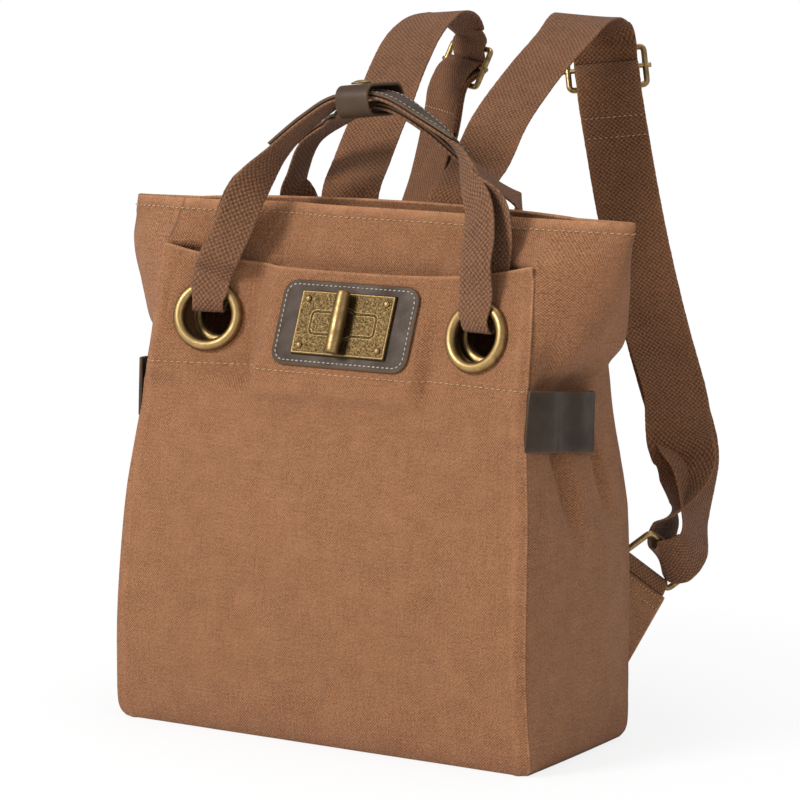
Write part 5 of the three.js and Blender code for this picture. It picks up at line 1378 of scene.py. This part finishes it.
half_slider = STRAP_WIDTH / 2 + RING_SLACK + WIRE / 2
slider_points, slider_faces = wire_loop(
    [(-half_slider, -tall, 0), (half_slider, -tall, 0), (half_slider, tall, 0), (-half_slider, tall, 0)],
    RING_CORNER, WIRE)
bar_reach = half_slider + WIRE / 2 + BAR_END
slider_bar, slider_bar_faces = lathe([(0.01, -bar_reach), (BAR_WIRE / 2 - 0.3, -bar_reach),
                                      (BAR_WIRE / 2, -bar_reach + 0.4), (BAR_WIRE / 2, bar_reach - 0.4),
                                      (BAR_WIRE / 2 - 0.3, bar_reach), (0.01, bar_reach)], 20)
slider_bar = slider_bar[:, [2, 0, 1]]
slider_faces += [tuple(len(slider_points) + v for v in face) for face in slider_bar_faces]
slider_points = np.concatenate([slider_points, slider_bar])
ring_points, ring_faces = wire_loop([(0, 0, 0), (RING_SPAN, 0, 0), (RING_SPAN, RING_ARM, 0), (0, RING_ARM, 0)],
                                    RING_CORNER, WIRE)
ring_points = placed(ring_frame, ring_points)
tab_rows = []
tab_away = WIRE / 2 + GAP + WEBBING / 2
tab_middle = ring_origin + ring_bar * RING_SPAN / 2
over_wire = [(tab_away * cos(a), tab_away * sin(a)) for a in np.linspace(pi, 0, 7)]
for out, high in [(-tab_away, -TAB_DROP), *over_wire, (tab_away, -TAB_DROP)]:
    tab_rows.append((tab_middle + ring_outward * out + ring_upward * high, ring_bar, 1.0))
tab_route = smooth_route(tab_rows, 0.8)
tab_wall = (GAP - WIRE + TAB_CANVAS * cos(TAB_TURN) / 2) / sin(TAB_TURN)


def tab_edge(run, below=0.0):
    """A point on the tab's slanting edge, or that far below it, level and upwards from the ring's corner."""
    drop = TAB_DROP + GAP + below
    return run * cos(RING_SLOPE) - drop * sin(RING_SLOPE), -run * sin(RING_SLOPE) - drop * cos(RING_SLOPE)


tab_outline = [(tab_wall, TAB_FOOT - RING_HEIGHT), (tab_wall + TAB_CANVAS, TAB_FOOT - RING_HEIGHT),
               tab_edge(RING_SPAN - TAB_SHORT),
               tab_edge((tab_wall + (TAB_DROP + GAP) * sin(RING_SLOPE)) / cos(RING_SLOPE))]
tab_frame = (ring_origin, np.array((ring_level, (0, 0, 1), ring_outward)))
tab_count = 24


def tab_point(u, v):
    """A point of the tab's outline shape, u up its height and v across it."""
    low = np.array(tab_outline[0]) * (1 - v) + np.array(tab_outline[1]) * v
    high = np.array(tab_outline[3]) * (1 - v) + np.array(tab_outline[2]) * v
    return low * (1 - u) + high * u


tab_grid = np.array([[(*tab_point(u, v), TAB_CANVAS / 2) for v in np.linspace(0, 1, tab_count)]
                     for u in np.linspace(0, 1, 40)])
tab_front = placed(tab_frame, tab_grid.reshape(-1, 3)).reshape(tab_grid.shape)
tab_out = np.broadcast_to(ring_outward, tab_front.shape)
tab_uv = tab_grid[:, :, :2]
tab_far = np.minimum(np.linspace(0, 1, tab_count), 1 - np.linspace(0, 1, tab_count))[None, :]
tab_worn = np.clip(0.7 - 14 * tab_far, 0.1, 1) * np.ones(tab_grid.shape[:2])
BOX_START, BOX_END, BOX_TOP, BOX_FOOT, BOX_STAND = 9.0, RING_SPAN - 5, 2.4, 9.5, 0.45
tab_box = [(run, BOX_TOP) for run in np.linspace(BOX_START, BOX_END, 24)]
tab_box += [(BOX_END, below) for below in (4, 6, 8)]
tab_box += [(run, BOX_FOOT) for run in np.linspace(BOX_END, BOX_START, 24)]
tab_box += [(BOX_START, below) for below in (8, 6, 4, BOX_TOP)]
tab_seam = placed(tab_frame, [(*tab_edge(run, below), TAB_CANVAS / 2 + BOX_STAND) for run, below in tab_box])
for name, mirror in (("left", True), ("right", False)):
    turn = np.array([-1, 1, 1]) if mirror else np.array([1, 1, 1])
    slider_here = placed(slider_frame(STRAP_HANGS[name][0]), slider_points)
    fixed(link_mesh(f"slider_{name}", slider_here * turn, slider_faces, wear=np.full(len(slider_points), 0.3)),
          wire_brass, f"strap_slider_{name}")
    fixed(link_mesh(f"ring_{name}", ring_points * turn, ring_faces, wear=np.full(len(ring_points), 0.3)),
          wire_brass, f"strap_ring_{name}")
    fixed(band(f"ring_loop_{name}", tab_route, STRAP_WIDTH - 1, WEBBING, mirror=mirror, rough=0.4),
          shaded_strap_webbing, f"tab_webbing_{name}")
    sheet = thick_sheet(f"tab_{name}", tab_front, tab_out, TAB_CANVAS, tab_uv, tab_worn)
    if mirror:
        sheet.data.transform(Matrix.Scale(-1, 4, (1, 0, 0)))
        sheet.data.flip_normals()
    fixed(sheet, canvas, f"strap_tab_{name}")
    sew(f"tab_stitches_{name}", [(tab_seam * turn, np.tile(ring_outward * turn, (len(tab_seam), 1)))], thread_tan,
        pitch=3.2, length=2.4, width=0.75)
